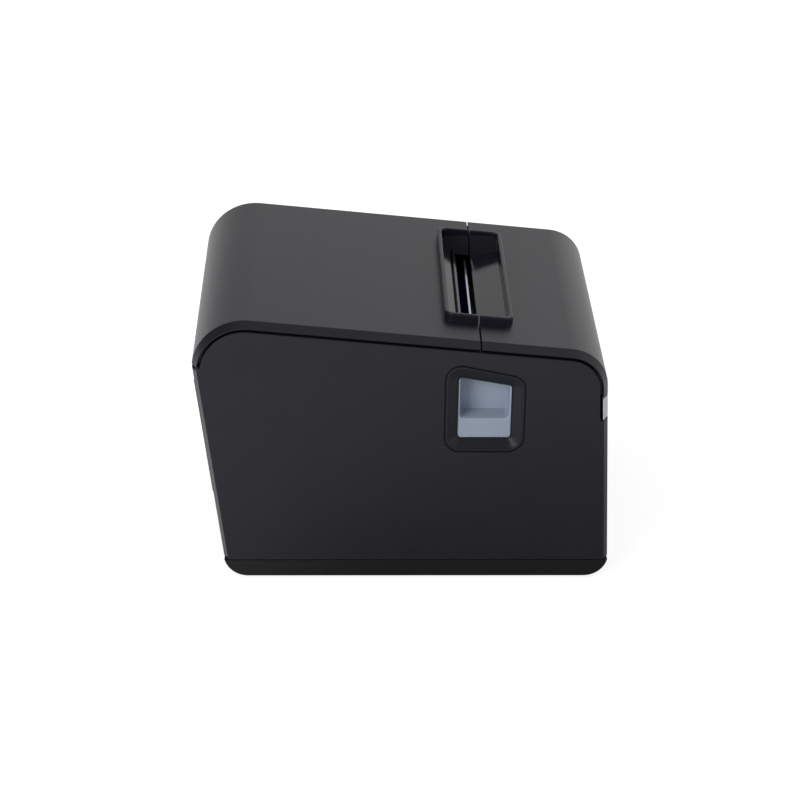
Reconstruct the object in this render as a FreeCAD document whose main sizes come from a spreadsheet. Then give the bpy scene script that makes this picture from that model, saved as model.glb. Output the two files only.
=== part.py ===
"""Desktop thermal receipt printer for 80 mm paper rolls, as a parametric assembly in millimetres.

Frame: +Z is up, the front faces -Y, the release lever is on the -X side, and the origin lies on the
standing surface under the middle of the outline. Every size in the sheet can be changed by itself.
"""
import FreeCAD, Part
import math
import os
from collections import namedtuple

import Sketcher
from fcgear import fcgear, involute

doc = FreeCAD.newDocument("receipt_printer")

# Driving dimensions: alias, value in millimetres or degrees, and what it is.
DIMENSIONS = [
    ("case_width", 145.0, "outside width across the side walls"),
    ("case_depth", 195.2, "front at the base seam to the rear shoulder"),
    ("foot_height", 1.0, "how far the rubber feet lift the base"),
    ("base_height", 9.3, "height of the base tray's sides"),
    ("base_round", 11.4, "radius of the base's front and rear bottom edges"),
    ("base_edge", 0.8, "rounding along the base's lower side edges"),
    ("wall", 2.5, "moulded wall thickness"),
    ("seam_gap", 0.7, "shadow gap between two shells"),
    ("rim_gap", 1.4, "shadow gap between the side walls and the lid's rim"),
    ("front_lean", 2.95, "lean of the front face from upright"),
    ("rear_lean", 6.9, "outward lean of the rear face"),
    ("shoulder_height", 112.2, "height of the rear edge where lid and case meet"),
    ("crown_lean", 8.0, "inward lean of the lid just above the shoulder"),
    ("roof_slope", 5.48, "fall of the roof towards the front"),
    ("roof_height", 127.3, "height of the roof over the origin"),
    ("rear_round", 24.9, "radius between roof and rear"),
    ("front_round", 18.8, "radius between roof and front"),
    ("rim_inset", 4.5, "chamfer along the side outline, measured across"),
    ("rim_drop", 2.2, "chamfer along the side outline, measured square to the roof"),
    ("skirt_depth", 7.5, "inner skirt of lid and front cover below their skin"),
    ("skirt_thickness", 2.0, "thickness of those skirts"),
    ("skirt_clearance", 1.5, "room between skirt and side wall"),
    ("trim_bottom", 85.5, "lower edge of the light trim band"),
    ("trim_top", 96.8, "upper edge of the light trim band"),
    ("exit_y", -34.0, "seam between lid and front cover, middle of the paper exit"),
    ("bezel_length", 100.2, "paper-exit bezel across the width, outside"),
    ("bezel_span", 31.8, "paper-exit bezel front to rear, outside"),
    ("bezel_wall", 2.0, "thickness of the bezel's rim"),
    ("bezel_edge", 0.7, "rounding along the top of the rim"),
    ("bezel_height", 4.0, "how far the rim stands above the roof"),
    ("bezel_round", 4.0, "outer corner radius of the bezel"),
    ("pocket_depth", 7.5, "how far the bezel's walls reach below the roof"),
    ("ramp_high", 4.0, "depth of the paper ramp below the roof at the front"),
    ("ramp_low", 7.4, "depth of the paper ramp below the roof at the slot"),
    ("ledge_reach", 6.5, "how far the lid's ledge reaches over the fixed blade"),
    ("ledge_edge", 5.0, "depth of the ledge below the roof at its edge"),
    ("ledge_root", 3.0, "depth of the ledge below the roof at the bezel"),
    ("ledge_thickness", 2.6, "thickness of that ledge"),
    ("ledge_rib", 1.2, "rib along the ledge's edge"),
    ("ledge_groove", 1.4, "groove behind that rib"),
    ("groove_depth", 1.6, "depth of that groove"),
    ("cheek_width", 5.0, "slanted cheeks at the ends of the exit pocket"),
    ("hinge_inset", 1.3, "hinge axis inside the rear shoulder"),
    ("knuckle_radius", 1.25, "hinge knuckles"),
    ("pin_radius", 0.55, "hinge pins"),
    ("rear_gap", 1.7, "radius of the trough under the lid's rear edge, room for its swing"),
    ("panel_bottom", 44.0, "lower edge of the raised rear panel"),
    ("panel_top", 103.0, "upper edge of the raised rear panel"),
    ("panel_proud", 0.5, "how far the rear panel stands proud"),
    ("panel_sunk", 1.0, "how far the rear panel is let into the wall"),
    ("panel_margin", 6.5, "rear panel inside the case width"),
    ("running_clearance", 0.05, "radial clearance of a shaft that turns in a hole"),
    ("touch_gap", 0.02, "film between two glued or snapped faces"),
    ("free_clearance", 0.3, "clearance between pieces that pass each other"),
    ("lever_y", -36.55, "middle of the lever window"),
    ("recess_width", 35.9, "lever funnel on the outside of the wall"),
    ("recess_bottom", 69.4, "lower edge of the funnel"),
    ("recess_top", 110.8, "upper edge of the funnel at its middle"),
    ("recess_slope", 12.2, "slope of the funnel's upper edge"),
    ("recess_round", 6.8, "corner radius of the funnel"),
    ("window_width", 24.4, "lever window at the bottom of the funnel"),
    ("window_bottom", 74.8, "lower edge of the window"),
    ("window_top", 103.85, "upper edge of the window at its middle"),
    ("window_slope", 10.5, "slope of the window's upper edge"),
    ("window_round", 1.5, "corner radius of the window"),
    ("funnel_step", 0.3, "straight step at the funnel's outer edge"),
    ("frame_groove", 0.7, "width of the groove around the funnel's frame"),
    ("frame_depth", 0.8, "depth of that groove"),
    ("frame_bead", 1.1, "width of the frame between groove and funnel"),
    ("funnel_depth", 3.5, "depth of the funnel from the outside"),
    ("lever_lip", 84.5, "height of the lever's lip"),
    ("lever_depth", 12.0, "lever from its face inwards"),
    ("lever_shell", 2.0, "wall of the lever moulding"),
    ("cup_round", 1.8, "lower corners of the finger cup"),
    ("lever_edge", 0.5, "rounding around the mouth of the cup"),
    ("lever_rim", 0.9, "side rims of the finger pocket"),
    ("lever_margin", 0.8, "lever wider than its window, each side"),
    ("lever_travel", 5.0, "how far the lever is pressed down"),
    ("lever_foot", 67.0, "bottom of the lever"),
    ("rail_width", 2.2, "guide rails beside the lever"),
    ("shelf_height", 50.0, "top of the shelf under the lever spring"),
    ("paper_width", 80.0, "paper roll width"),
    ("roll_diameter", 80.0, "largest paper roll"),
    ("roll_room", 2.0, "room around the roll"),
    ("bucket_wall", 1.6, "wall of the roll bucket"),
    ("bucket_y", 35.0, "middle of the roll bucket"),
    ("bucket_z", 68.0, "height of the roll's axis"),
    ("deck_height", 105.0, "top of the deck around the bucket"),
    ("deck_thickness", 2.0, "thickness of that deck"),
    ("bucket_lip", 92.0, "top of the bucket's front wall, where the paper leaves"),
    ("liner_depth", 9.5, "lid liner below the roof"),
    ("liner_wall", 1.5, "wall of the lid liner"),
    ("liner_half", 60.0, "half width of the lid liner"),
    ("platen_y", -22.75, "platen axis, front to rear"),
    ("platen_z", 98.5, "platen axis, height"),
    ("platen_radius", 6.5, "rubber of the platen"),
    ("platen_bore", 3.0, "platen shaft radius"),
    ("bushing_radius", 4.0, "outside of the platen's bushings"),
    ("arm_gap", 1.0, "platen rubber to the liner's arms"),
    ("arm_thickness", 2.0, "liner arms that carry the platen"),
    ("frame_gap", 2.0, "liner arm to the mechanism's side plate"),
    ("plate", 1.2, "sheet steel of the mechanism"),
    ("frame_foot", 8.0, "height of the bosses under the mechanism"),
    ("frame_rear", -11.5, "rear edge of the mechanism's side plates"),
    ("frame_front", -75.0, "front edge of the mechanism's side plates"),
    ("frame_top", 111.5, "top of the side plates at the cutter"),
    ("floor_height", 46.0, "mechanism floor plate"),
    ("gear_module", 0.6, "feed gears"),
    ("gear_width", 4.0, "face width of the feed gears"),
    ("gear_gap", 4.0, "side plate to the feed gears"),
    ("mesh_clearance", 0.12, "extra centre distance of meshed gears"),
    ("motor_radius", 16.5, "feed motor can"),
    ("motor_length", 20.0, "feed motor can"),
    ("stud_radius", 1.5, "studs of the feed gears"),
    ("head_tilt", 15.0, "tilt of the print head from upright"),
    ("head_gap", 0.3, "print head to platen"),
    ("head_above", 6.0, "head above its heating line"),
    ("head_below", 14.0, "head below its heating line"),
    ("sink_thickness", 5.0, "heat sink behind the head"),
    ("head_sheet", 0.8, "ceramic strip of the head"),
    ("head_half", 40.0, "half width of the head"),
    ("pivot_radius", 1.5, "head pivot shaft"),
    ("bracket_y", -43.0, "rear face of the spring bracket"),
    ("latch_y", -24.0, "latch shaft, front to rear"),
    ("latch_z", 72.0, "latch shaft, height"),
    ("latch_radius", 2.0, "latch shaft"),
    ("hook_thickness", 2.0, "latch hooks"),
    ("crank_reach", 22.0, "latch shaft to the crank pin"),
    ("crank_pin", 1.5, "crank pin radius"),
    ("blade_z", 113.2, "underside of the moving blade"),
    ("blade_thickness", 1.0, "both cutter blades"),
    ("blade_gap", 0.1, "moving blade to fixed blade"),
    ("blade_half", 43.0, "half width of the blades"),
    ("blade_edge", -37.6, "edge of the moving blade at rest"),
    ("blade_length", 28.4, "moving blade front to rear"),
    ("blade_notch", 3.0, "depth of the moving blade's V"),
    ("fixed_edge", -32.0, "edge of the fixed blade"),
    ("fixed_length", 11.0, "fixed blade front to rear"),
    ("rack_module", 0.8, "cutter racks and pinions"),
    ("rack_width", 4.0, "face width of the cutter racks"),
    ("rack_x", 38.0, "middle of the racks across the width"),
    ("cutter_y", -56.0, "cutter shaft, front to rear"),
    ("cutter_radius", 2.0, "cutter shaft"),
    ("cutter_motor_radius", 8.0, "cutter motor can"),
    ("cutter_motor_length", 24.0, "cutter motor can"),
    ("board_height", 12.0, "underside of the main board"),
    ("board_thickness", 1.6, "printed circuit boards"),
    ("board_front", -7.0, "front edge of the main board"),
    ("board_half", 54.0, "half width of the main board"),
    ("bay_y", 74.0, "outer face of the connector plate"),
    ("bay_half", 53.0, "half width of the connector bay"),
    ("bay_top", 37.0, "top of the connector bay"),
    ("screw_radius", 1.4, "self-tapping screws"),
    ("screw_head", 2.8, "heads of those screws"),
    ("foot_radius", 7.0, "rubber feet"),
    ("foot_recess", 1.0, "feet set into the base"),
    ("button_x", 46.0, "feed button across the width"),
    ("button_width", 15.0, "feed button"),
    ("button_height", 6.0, "feed button"),
    ("button_travel", 0.8, "feed button travel"),
    ("lens_pitch", 9.0, "spacing of the indicator lenses"),
    ("lens_radius", 1.6, "indicator lenses"),
]

# Gear teeth.
PLATEN_TEETH = 30
IDLER_TEETH = 24
REDUCTION_SMALL = 14
REDUCTION_LARGE = 40
FEED_PINION_TEETH = 12
RACK_PINION_TEETH = 12
CUTTER_GEAR_TEETH = 24
CUTTER_PINION_TEETH = 12
PRESSURE_ANGLE = 20.0

sheet = doc.addObject("Spreadsheet::Sheet", "Dims")


class Size:
    """A length or angle that holds its value and the expression that gives it from the sheet."""

    def __init__(self, text, value):
        self.text = text
        self.value = value

    def __add__(self, other):
        other = size(other)
        return Size(f"({self.text} + {other.text})", self.value + other.value)

    def __sub__(self, other):
        other = size(other)
        return Size(f"({self.text} - {other.text})", self.value - other.value)

    def __mul__(self, other):
        other = size(other)
        return Size(f"({self.text} * {other.text})", self.value * other.value)

    def __truediv__(self, other):
        other = size(other)
        return Size(f"({self.text} / {other.text})", self.value / other.value)

    def __radd__(self, other):
        return size(other) + self

    def __rsub__(self, other):
        return size(other) - self

    def __rmul__(self, other):
        return size(other) * self

    def __neg__(self):
        return size(0) - self


def size(number):
    """Turns a plain number into a Size, and leaves a Size as it is."""
    if isinstance(number, Size):
        return number
    return Size(f"({number:.6f})", float(number))


def tangent(angle):
    return Size(f"tan({angle.text} * 1 deg)", math.tan(math.radians(angle.value)))


def sine(angle):
    return Size(f"sin({angle.text} * 1 deg)", math.sin(math.radians(angle.value)))


def cosine(angle):
    return Size(f"cos({angle.text} * 1 deg)", math.cos(math.radians(angle.value)))


def fill_sheet():
    """Writes the driving dimensions into the sheet and returns them by name."""
    found = {}
    for row, (alias, value, meaning) in enumerate(DIMENSIONS, start=1):
        sheet.set(f"A{row}", meaning)
        sheet.set(f"B{row}", str(value))
        sheet.setAlias(f"B{row}", alias)
        found[alias] = Size(f"Dims.{alias}", value)
    doc.recompute()
    return namedtuple("Dims", found)(**found)


d = fill_sheet()
Round = namedtuple("Round", "u v radius")
X_AXIS = FreeCAD.Vector(1, 0, 0)
TURN_TO_YZ = FreeCAD.Rotation(FreeCAD.Vector(1, 1, 1), 120)
AXIS_TURNS = {
    "X": FreeCAD.Rotation(FreeCAD.Vector(0, 1, 0), 90),
    "Y": FreeCAD.Rotation(FreeCAD.Vector(1, 0, 0), -90),
    "Z": FreeCAD.Rotation(),
}
FAR = 300.0
nodes = {}


def keep(node, piece):
    """Names a finished sub-part."""
    piece.Label = node
    nodes[node] = piece
    return piece


def bind(item, prop, value):
    item.setExpression(prop, size(value).text)


def bind_place(item, x, y, z):
    for axis, value in zip("xyz", (x, y, z)):
        bind(item, f"Placement.Base.{axis}", value)


def box(name, x, y, z):
    """A block between the given low and high values on each axis."""
    made = doc.addObject("Part::Box", name)
    for prop, (low, high) in zip(("Length", "Width", "Height"), (x, y, z)):
        bind(made, prop, size(high) - low)
    bind_place(made, x[0], y[0], z[0])
    return made


def rod(name, axis, across, low, high, radius):
    """A cylinder along an axis; across gives its place on the two other axes, in X, Y, Z order."""
    made = doc.addObject("Part::Cylinder", name)
    made.Placement = FreeCAD.Placement(FreeCAD.Vector(), AXIS_TURNS[axis])
    bind(made, "Radius", radius)
    bind(made, "Height", size(high) - low)
    place = list(across)
    place.insert("XYZ".index(axis), low)
    bind_place(made, *place)
    return made


def fix_point(sketch, item, end, u, v):
    """Ties a point of a sketch to its place with two dimensions from the sheet."""
    for kind, value in (("DistanceX", u), ("DistanceY", v)):
        value = size(value)
        made = sketch.addConstraint(Sketcher.Constraint(kind, -1, 1, item, end, value.value))
        sketch.setExpression(f"Constraints[{made}]", value.text)


def corner_arc(before, corner, after, radius):
    """Centre, the two tangent points and the turning sense of a rounded corner."""
    back = (before - corner).normalize()
    ahead = (after - corner).normalize()
    half = back.getAngle(ahead) / 2
    reach = radius / math.tan(half)
    middle = (back + ahead).normalize()
    centre = corner + middle * (radius / math.sin(half))
    turns_left = (corner - before).cross(after - corner).z > 0
    return centre, corner + back * reach, corner + ahead * reach, turns_left


def draw_loop(sketch, loop):
    """Draws a circle, or a closed outline of corners (u, v) or (u, v, radius)."""
    if isinstance(loop, Round):
        u, v, radius = (size(value) for value in loop)
        circle = Part.Circle(FreeCAD.Vector(u.value, v.value, 0), FreeCAD.Vector(0, 0, 1), radius.value)
        item = sketch.addGeometry(circle)
        fix_point(sketch, item, 3, u, v)
        made = sketch.addConstraint(Sketcher.Constraint("Radius", item, radius.value))
        sketch.setExpression(f"Constraints[{made}]", radius.text)
        return
    points = [FreeCAD.Vector(size(c[0]).value, size(c[1]).value, 0) for c in loop]
    count = len(points)
    arcs = {}
    for i, corner in enumerate(loop):
        if len(corner) == 3:
            arcs[i] = corner_arc(points[i - 1], points[i], points[(i + 1) % count], size(corner[2]).value)
    lines = []
    for i in range(count):
        after = (i + 1) % count
        start = arcs[i][2] if i in arcs else points[i]
        stop = arcs[after][1] if after in arcs else points[after]
        lines.append(sketch.addGeometry(Part.LineSegment(start, stop)))
    for i, corner in enumerate(loop):
        before, here = lines[i - 1], lines[i]
        if i not in arcs:
            sketch.addConstraint(Sketcher.Constraint("Coincident", before, 2, here, 1))
            fix_point(sketch, here, 1, corner[0], corner[1])
            continue
        centre, first, last, turns_left = arcs[i]
        radius = size(corner[2])
        ends = (first, last) if turns_left else (last, first)
        angles = [math.atan2(end.y - centre.y, end.x - centre.x) for end in ends]
        circle = Part.Circle(centre, FreeCAD.Vector(0, 0, 1), radius.value)
        arc = sketch.addGeometry(Part.ArcOfCircle(circle, angles[0], angles[1]))
        mark = sketch.addGeometry(Part.Point(points[i]), True)
        fix_point(sketch, mark, 1, corner[0], corner[1])
        sketch.addConstraint(Sketcher.Constraint("PointOnObject", mark, 1, before))
        sketch.addConstraint(Sketcher.Constraint("PointOnObject", mark, 1, here))
        arc_first, arc_last = (1, 2) if turns_left else (2, 1)
        sketch.addConstraint(Sketcher.Constraint("Tangent", before, 2, arc, arc_first))
        sketch.addConstraint(Sketcher.Constraint("Tangent", here, 1, arc, arc_last))
        made = sketch.addConstraint(Sketcher.Constraint("Radius", arc, radius.value))
        sketch.setExpression(f"Constraints[{made}]", radius.text)


def padded(name, plane, low, high, *loops):
    """A body with one sketch on an origin plane, padded from low to high along the plane's axis."""
    body = doc.addObject("PartDesign::Body", name)
    sketch = body.newObject("Sketcher::SketchObject", f"{name}_sketch")
    origin_plane = [f for f in body.Origin.OriginFeatures if f.Role == f"{plane}_Plane"][0]
    sketch.AttachmentSupport = [(origin_plane, "")]
    sketch.MapMode = "FlatFace"
    # The XZ plane faces -Y, so its offset runs the other way.
    offset = -size(high) if plane == "XZ" else size(low)
    bind(sketch, "AttachmentOffset.Base.z", offset)
    for loop in loops:
        draw_loop(sketch, loop)
    pad = body.newObject("PartDesign::Pad", f"{name}_pad")
    pad.Profile = sketch
    bind(pad, "Length", size(high) - low)
    return body


def flat_sketch(name, loop):
    """A sketch on its own in the plane across the middle of the printer."""
    sketch = doc.addObject("Sketcher::SketchObject", name)
    sketch.Placement = FreeCAD.Placement(FreeCAD.Vector(), TURN_TO_YZ)
    draw_loop(sketch, loop)
    return sketch


def fuse(name, *pieces):
    made = doc.addObject("Part::MultiFuse", name)
    made.Shapes = list(pieces)
    made.Refine = True
    return made


def cut(name, base, *tools):
    made = doc.addObject("Part::Cut", name)
    made.Base = base
    made.Tool = tools[0] if len(tools) == 1 else fuse(f"{name}_tools", *tools)
    made.Refine = True
    return made


def common(name, first, second):
    made = doc.addObject("Part::Common", name)
    made.Base = first
    made.Tool = second
    made.Refine = True
    return made


def mirrored(name, source):
    """The same piece on the other side of the middle plane."""
    made = doc.addObject("Part::Mirroring", name)
    made.Source = source
    made.Normal = X_AXIS
    return made


def group(name, *pieces):
    """Separate solids that share one node."""
    made = doc.addObject("Part::Compound", name)
    made.Links = list(pieces)
    return made


def rounded(name, source, radius, wanted):
    """Rounds the edges of a piece that a test picks."""
    doc.recompute()
    made = doc.addObject("Part::Fillet", name)
    made.Base = source
    picked = [number for number, edge in enumerate(source.Shape.Edges, start=1) if wanted(edge)]
    made.Edges = [(number, radius.value, radius.value) for number in picked]
    return made


def solid(name, shape, x=0.0, y=0.0, z=0.0, turn=None):
    """A shape made with Part's own functions, placed after it is set."""
    made = doc.addObject("Part::Feature", name)
    made.Shape = shape
    made.Placement = FreeCAD.Placement(FreeCAD.Vector(x, y, z), turn or FreeCAD.Rotation())
    return made


# Outline of the case seen from the side, shared by every outer shell.
half_width = d.case_width / 2
half_depth = d.case_depth / 2
base_top = d.foot_height + d.base_height
roof_rise = tangent(d.roof_slope)
front_rise = tangent(d.front_lean)
rear_rise = tangent(d.rear_lean)
crown_rise = tangent(d.crown_lean)


def front_y(z):
    return (z - base_top) * front_rise - half_depth


def rear_y(z):
    return half_depth - (d.shoulder_height - z) * rear_rise


def roof_z(y):
    return d.roof_height + y * roof_rise


front_corner = ((d.roof_height - base_top) * front_rise - half_depth) / (1 - roof_rise * front_rise)
rear_corner = (half_depth - (d.roof_height - d.shoulder_height) * crown_rise) / (1 + roof_rise * crown_rise)
OUTLINE = [
    (front_y(base_top), base_top),
    (rear_y(base_top), base_top),
    (half_depth, d.shoulder_height),
    (rear_corner, roof_z(rear_corner), d.rear_round),
    (front_corner, roof_z(front_corner), d.front_round),
]
outline_sketch = flat_sketch("outline", OUTLINE)


def make_block():
    """The whole outer form: the outline across the full width, with its chamfered side edges."""
    block = padded("block", "YZ", -half_width, half_width, OUTLINE)
    doc.recompute()
    pad = block.Tip
    edges = []
    for number, edge in enumerate(block.Shape.Edges, start=1):
        on_side = edge.BoundBox.XLength < 1e-6
        if on_side and edge.BoundBox.ZMax > base_top.value + 1:
            edges.append(f"Edge{number}")
    rim = block.newObject("PartDesign::Chamfer", "block_rim")
    rim.Base = (pad, edges)
    rim.ChamferType = "Two distances"
    bind(rim, "Size", d.rim_inset)
    bind(rim, "Size2", d.rim_drop)
    return block


def offset_block(name, inset, half):
    """The outline moved inwards by inset (outwards if negative), across plus and minus half."""
    moved = doc.addObject("Part::Offset2D", f"{name}_outline")
    moved.Source = outline_sketch
    moved.Join = 2
    bind(moved, "Value", -size(inset))
    made = doc.addObject("Part::Extrusion", name)
    made.Base = moved
    made.DirMode = "Custom"
    made.Dir = X_AXIS
    made.Solid = True
    made.Symmetric = True
    bind(made, "LengthFwd", size(half) * 2)
    return made


full = half_width + 1
block = make_block()
skin = cut("skin", block, offset_block("skin_core", d.wall, full))
half_gap = d.seam_gap / 2
lid_zone = box("lid_zone", (-full, full), (d.exit_y + half_gap, FAR), (d.shoulder_height + half_gap, FAR))
front_zone = box("front_zone", (-full, full), (-FAR, d.exit_y - half_gap), (d.trim_top + half_gap, FAR))


def above_roof(edge):
    """Height of an edge's middle over the roof."""
    middle = edge.CenterOfMass
    return middle.z - roof_z(size(middle.y)).value


# Paper-exit bezel: an upright ring that follows the roof, half on the lid and half on the front cover.
bezel_x = d.bezel_length / 2
bezel_y = d.bezel_span / 2
inner_x = bezel_x - d.bezel_wall
inner_y = bezel_y - d.bezel_wall


def rounded_rectangle(half_u, low_v, high_v, radius):
    return [
        (-half_u, low_v, radius), (half_u, low_v, radius), (half_u, high_v, radius),
        (-half_u, high_v, radius),
    ]


pocket_hole = padded(
    "pocket_hole", "XY", 50, 200,
    rounded_rectangle(inner_x, d.exit_y - inner_y, d.exit_y + inner_y, d.bezel_round - d.bezel_wall / 2),
)
bezel_column = padded(
    "bezel_column", "XY", 50, 200,
    rounded_rectangle(bezel_x, d.exit_y - bezel_y, d.exit_y + bezel_y, d.bezel_round),
)
bezel_band = cut(
    "bezel_band",
    offset_block("bezel_over", -d.bezel_height, full),
    offset_block("bezel_under", d.pocket_depth, full + 1),
)
bezel_blank = common("bezel_blank", bezel_band, cut("bezel_ring", bezel_column, pocket_hole))
bezel = rounded(
    "bezel", bezel_blank, d.bezel_edge, lambda edge: above_roof(edge) > d.bezel_height.value - 0.2,
)


def roof_strip(name, half, near, near_drop, far, far_drop, thickness):
    """A sloped strip below the roof, from one depth at near to another at far."""
    return padded(
        name, "YZ", -size(half), half,
        [
            (near, roof_z(near) - near_drop),
            (far, roof_z(far) - far_drop),
            (far, roof_z(far) - far_drop - thickness),
            (near, roof_z(near) - near_drop - thickness),
        ],
    )


def cheeks(name, low, high):
    """Slanted walls at both ends of the exit pocket."""
    top = roof_z(d.exit_y) + 1
    bottom = roof_z(d.exit_y) - d.pocket_depth
    right = padded(
        f"{name}_right", "XZ", low, high,
        [(inner_x - d.cheek_width, bottom), (inner_x + 1, bottom), (inner_x + 1, top), (inner_x, top)],
    )
    pair = fuse(f"{name}_pair", right, mirrored(f"{name}_left", right))
    return common(name, pair, bezel_band)


skirt_outer = half_width - d.wall - d.skirt_clearance
skirt_band = cut(
    "skirt_band",
    offset_block("skirt_over", d.wall / 2, full),
    offset_block("skirt_under", d.wall + d.skirt_depth, full + 1),
)


def skirts(name, zone):
    """Inner skirts that stiffen a cover beside the case's walls."""
    right = box(
        f"{name}_right", (skirt_outer - d.skirt_thickness, skirt_outer), (-FAR, FAR), (0, FAR),
    )
    pair = fuse(f"{name}_pair", right, mirrored(f"{name}_left", right))
    return common(f"{name}_in_zone", common(name, skirt_band, pair), zone)


# Hinge along the rear shoulder: case ears between two lid knuckles on each side.
hinge_y = half_depth - d.hinge_inset
hinge_z = d.shoulder_height
EAR = (40.0, 52.0)
LID_KNUCKLES = ((20.0, EAR[0]), (EAR[1], 62.0))


def hinge_rods(name, spans, radius, clearance=0.0):
    """Cylinders on the hinge axis over the spans, on both sides."""
    made = []
    for number, (low, high) in enumerate(spans):
        right = rod(f"{name}_{number}", "X", (hinge_y, hinge_z), low - clearance, high + clearance, radius)
        made += [right, mirrored(f"{name}_{number}_left", right)]
    return fuse(name, *made)


knuckle_room = d.knuckle_radius + d.free_clearance


def make_lid_cover():
    zone = lid_zone
    shell = cut("lid_shell", common("lid_skin", skin, zone), pocket_hole)
    ring = common("lid_bezel", bezel, zone)
    rear = d.exit_y + inner_y + d.bezel_wall / 2
    edge = rear - d.ledge_reach - d.bezel_wall / 2
    slope = (d.ledge_edge - d.ledge_root) / (rear - edge)
    ledge_blank = roof_strip(
        "lid_ledge_blank", inner_x, edge, d.ledge_edge, rear, d.ledge_root, d.ledge_thickness,
    )
    near = d.ledge_rib
    far = d.ledge_rib + d.ledge_groove
    groove = roof_strip(
        "lid_groove", inner_x + 1, edge + near, d.ledge_edge - near * slope - 2,
        edge + far, d.ledge_edge - far * slope - 2, d.groove_depth + 2,
    )
    ledge = cut("lid_ledge", ledge_blank, groove)
    ends = common("lid_cheeks", cheeks("lid_cheek_prisms", d.exit_y, d.exit_y + inner_y), zone)
    spans = [(low + 0.3, high - 0.3) for low, high in LID_KNUCKLES]
    # The lid's edge turns down behind the case's ears, so it is cut away there.
    ear_room = box(
        "lid_ear_room", EAR, (hinge_y - 4, FAR),
        (hinge_z - 5, hinge_z + d.knuckle_radius + 2 * d.free_clearance),
    )
    solid_lid = fuse(
        "lid_solid", shell, ring, ledge, ends, skirts("lid_skirts", zone),
        hinge_rods("lid_knuckles", spans, d.knuckle_radius),
    )
    keep("lid_cover", cut(
        "lid_done", solid_lid,
        hinge_rods("lid_bores", LID_KNUCKLES, d.pin_radius + d.running_clearance, 1.0),
        ear_room, mirrored("lid_ear_room_left", ear_room),
    ))


def make_front_cover():
    zone = front_zone
    shell = cut("front_shell", common("front_skin", skin, zone), pocket_hole)
    ring = common("front_bezel", bezel, zone)
    front = d.exit_y - inner_y - d.bezel_wall / 2
    slot = d.exit_y - half_gap
    ramp = roof_strip("front_ramp", inner_x, front, d.ramp_high, slot, d.ramp_low, 1.6)
    ends = common("front_cheeks", cheeks("front_cheek_prisms", d.exit_y - inner_y, d.exit_y), zone)
    keep("front_cover", fuse("front_done", shell, ring, ramp, ends, skirts("front_skirts", zone)))


def make_front_trim():
    zone = box(
        "trim_zone", (-full, full), (-FAR, 25 - half_depth),
        (d.trim_bottom + half_gap, d.trim_top - half_gap),
    )
    band = common("trim_band", skin, zone)
    lens_holes = [
        rod(f"lens_hole_{i}", "Y", (lens_x(i), trim_middle), -FAR, 0, d.lens_radius)
        for i in range(LENS_COUNT)
    ]
    button_hole = box(
        "button_hole",
        (
            d.button_x - d.button_width / 2 - d.free_clearance,
            d.button_x + d.button_width / 2 + d.free_clearance,
        ),
        (-FAR, 0),
        (
            trim_middle - d.button_height / 2 - d.free_clearance,
            trim_middle + d.button_height / 2 + d.free_clearance,
        ),
    )
    posts = []
    for x in (panel_low + 3, panel_high - 3):
        posts.append(rod(
            f"trim_post_{len(posts)}", "Y", (x, trim_middle + 2.5), trim_face + d.wall / 2, panel_face, 2.0,
        ))
    keep("front_trim", fuse("trim_done", cut("trim_cut", band, button_hole, *lens_holes), *posts))


# Operator panel in the trim band.
LENS_COUNT = 3
trim_middle = (d.trim_bottom + d.trim_top) / 2
trim_face = front_y(trim_middle)
panel_face = trim_face + 8.0


def lens_x(number):
    return d.button_x - d.button_width - number * d.lens_pitch


panel_low = lens_x(LENS_COUNT - 1) - 8
panel_high = d.button_x + 14


def make_panel():
    """Feed button, indicator lenses and the small board behind them."""
    face = trim_face - 0.6
    key = padded(
        "button_key", "XZ", face, trim_face + d.wall + 1.5,
        [
            (d.button_x - d.button_width / 2, trim_middle - d.button_height / 2, 1.5),
            (d.button_x + d.button_width / 2, trim_middle - d.button_height / 2, 1.5),
            (d.button_x + d.button_width / 2, trim_middle + d.button_height / 2, 1.5),
            (d.button_x - d.button_width / 2, trim_middle + d.button_height / 2, 1.5),
        ],
    )
    flange_y = trim_face + d.wall + d.free_clearance
    flange = box(
        "button_flange",
        (d.button_x - d.button_width / 2 - 1.2, d.button_x + d.button_width / 2 + 1.2),
        (flange_y, flange_y + 1.2),
        (trim_middle - d.button_height / 2 - 1.2, trim_middle + d.button_height / 2 + 1.2),
    )
    keep("feed_button", fuse("button_done", key, flange))
    lenses = []
    for i in range(LENS_COUNT):
        pipe = rod(
            f"lens_{i}", "Y", (lens_x(i), trim_middle), trim_face - 0.3, panel_face, d.lens_radius,
        )
        lenses.append(pipe)
    keep("indicator_lenses", group("lenses", *lenses))
    keep("panel_board", box(
        "panel_plate", (panel_low, panel_high), (panel_face, panel_face + d.board_thickness),
        (trim_middle - 8, trim_middle + 6),
    ))
    plunger_y = flange_y + 1.2 + d.button_travel + 0.2
    body = box(
        "panel_switch_body", (d.button_x - 3, d.button_x + 3), (plunger_y + 0.8, panel_face),
        (trim_middle - 3, trim_middle + 3),
    )
    plunger = rod("panel_switch_plunger", "Y", (d.button_x, trim_middle), plunger_y, plunger_y + 1.2, 1.6)
    keep("panel_switch", fuse("panel_switch_done", body, plunger))


# Lever window and funnel in the left wall.
left = -half_width


def slanted_window(width, bottom, top, slope, radius):
    """A window outline whose upper edge falls towards the front."""
    rear = d.lever_y + width / 2
    front = d.lever_y - width / 2
    lift = width / 2 * tangent(slope)
    return [
        (front, bottom, radius), (rear, bottom, radius), (rear, top + lift, radius),
        (front, top - lift, radius),
    ]


def funnel_outline(grow):
    """The outline of the funnel's frame, larger by grow on all sides."""
    return slanted_window(
        d.recess_width + 2 * grow, d.recess_bottom - grow, d.recess_top + grow, d.recess_slope,
        d.recess_round + grow,
    )


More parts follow.
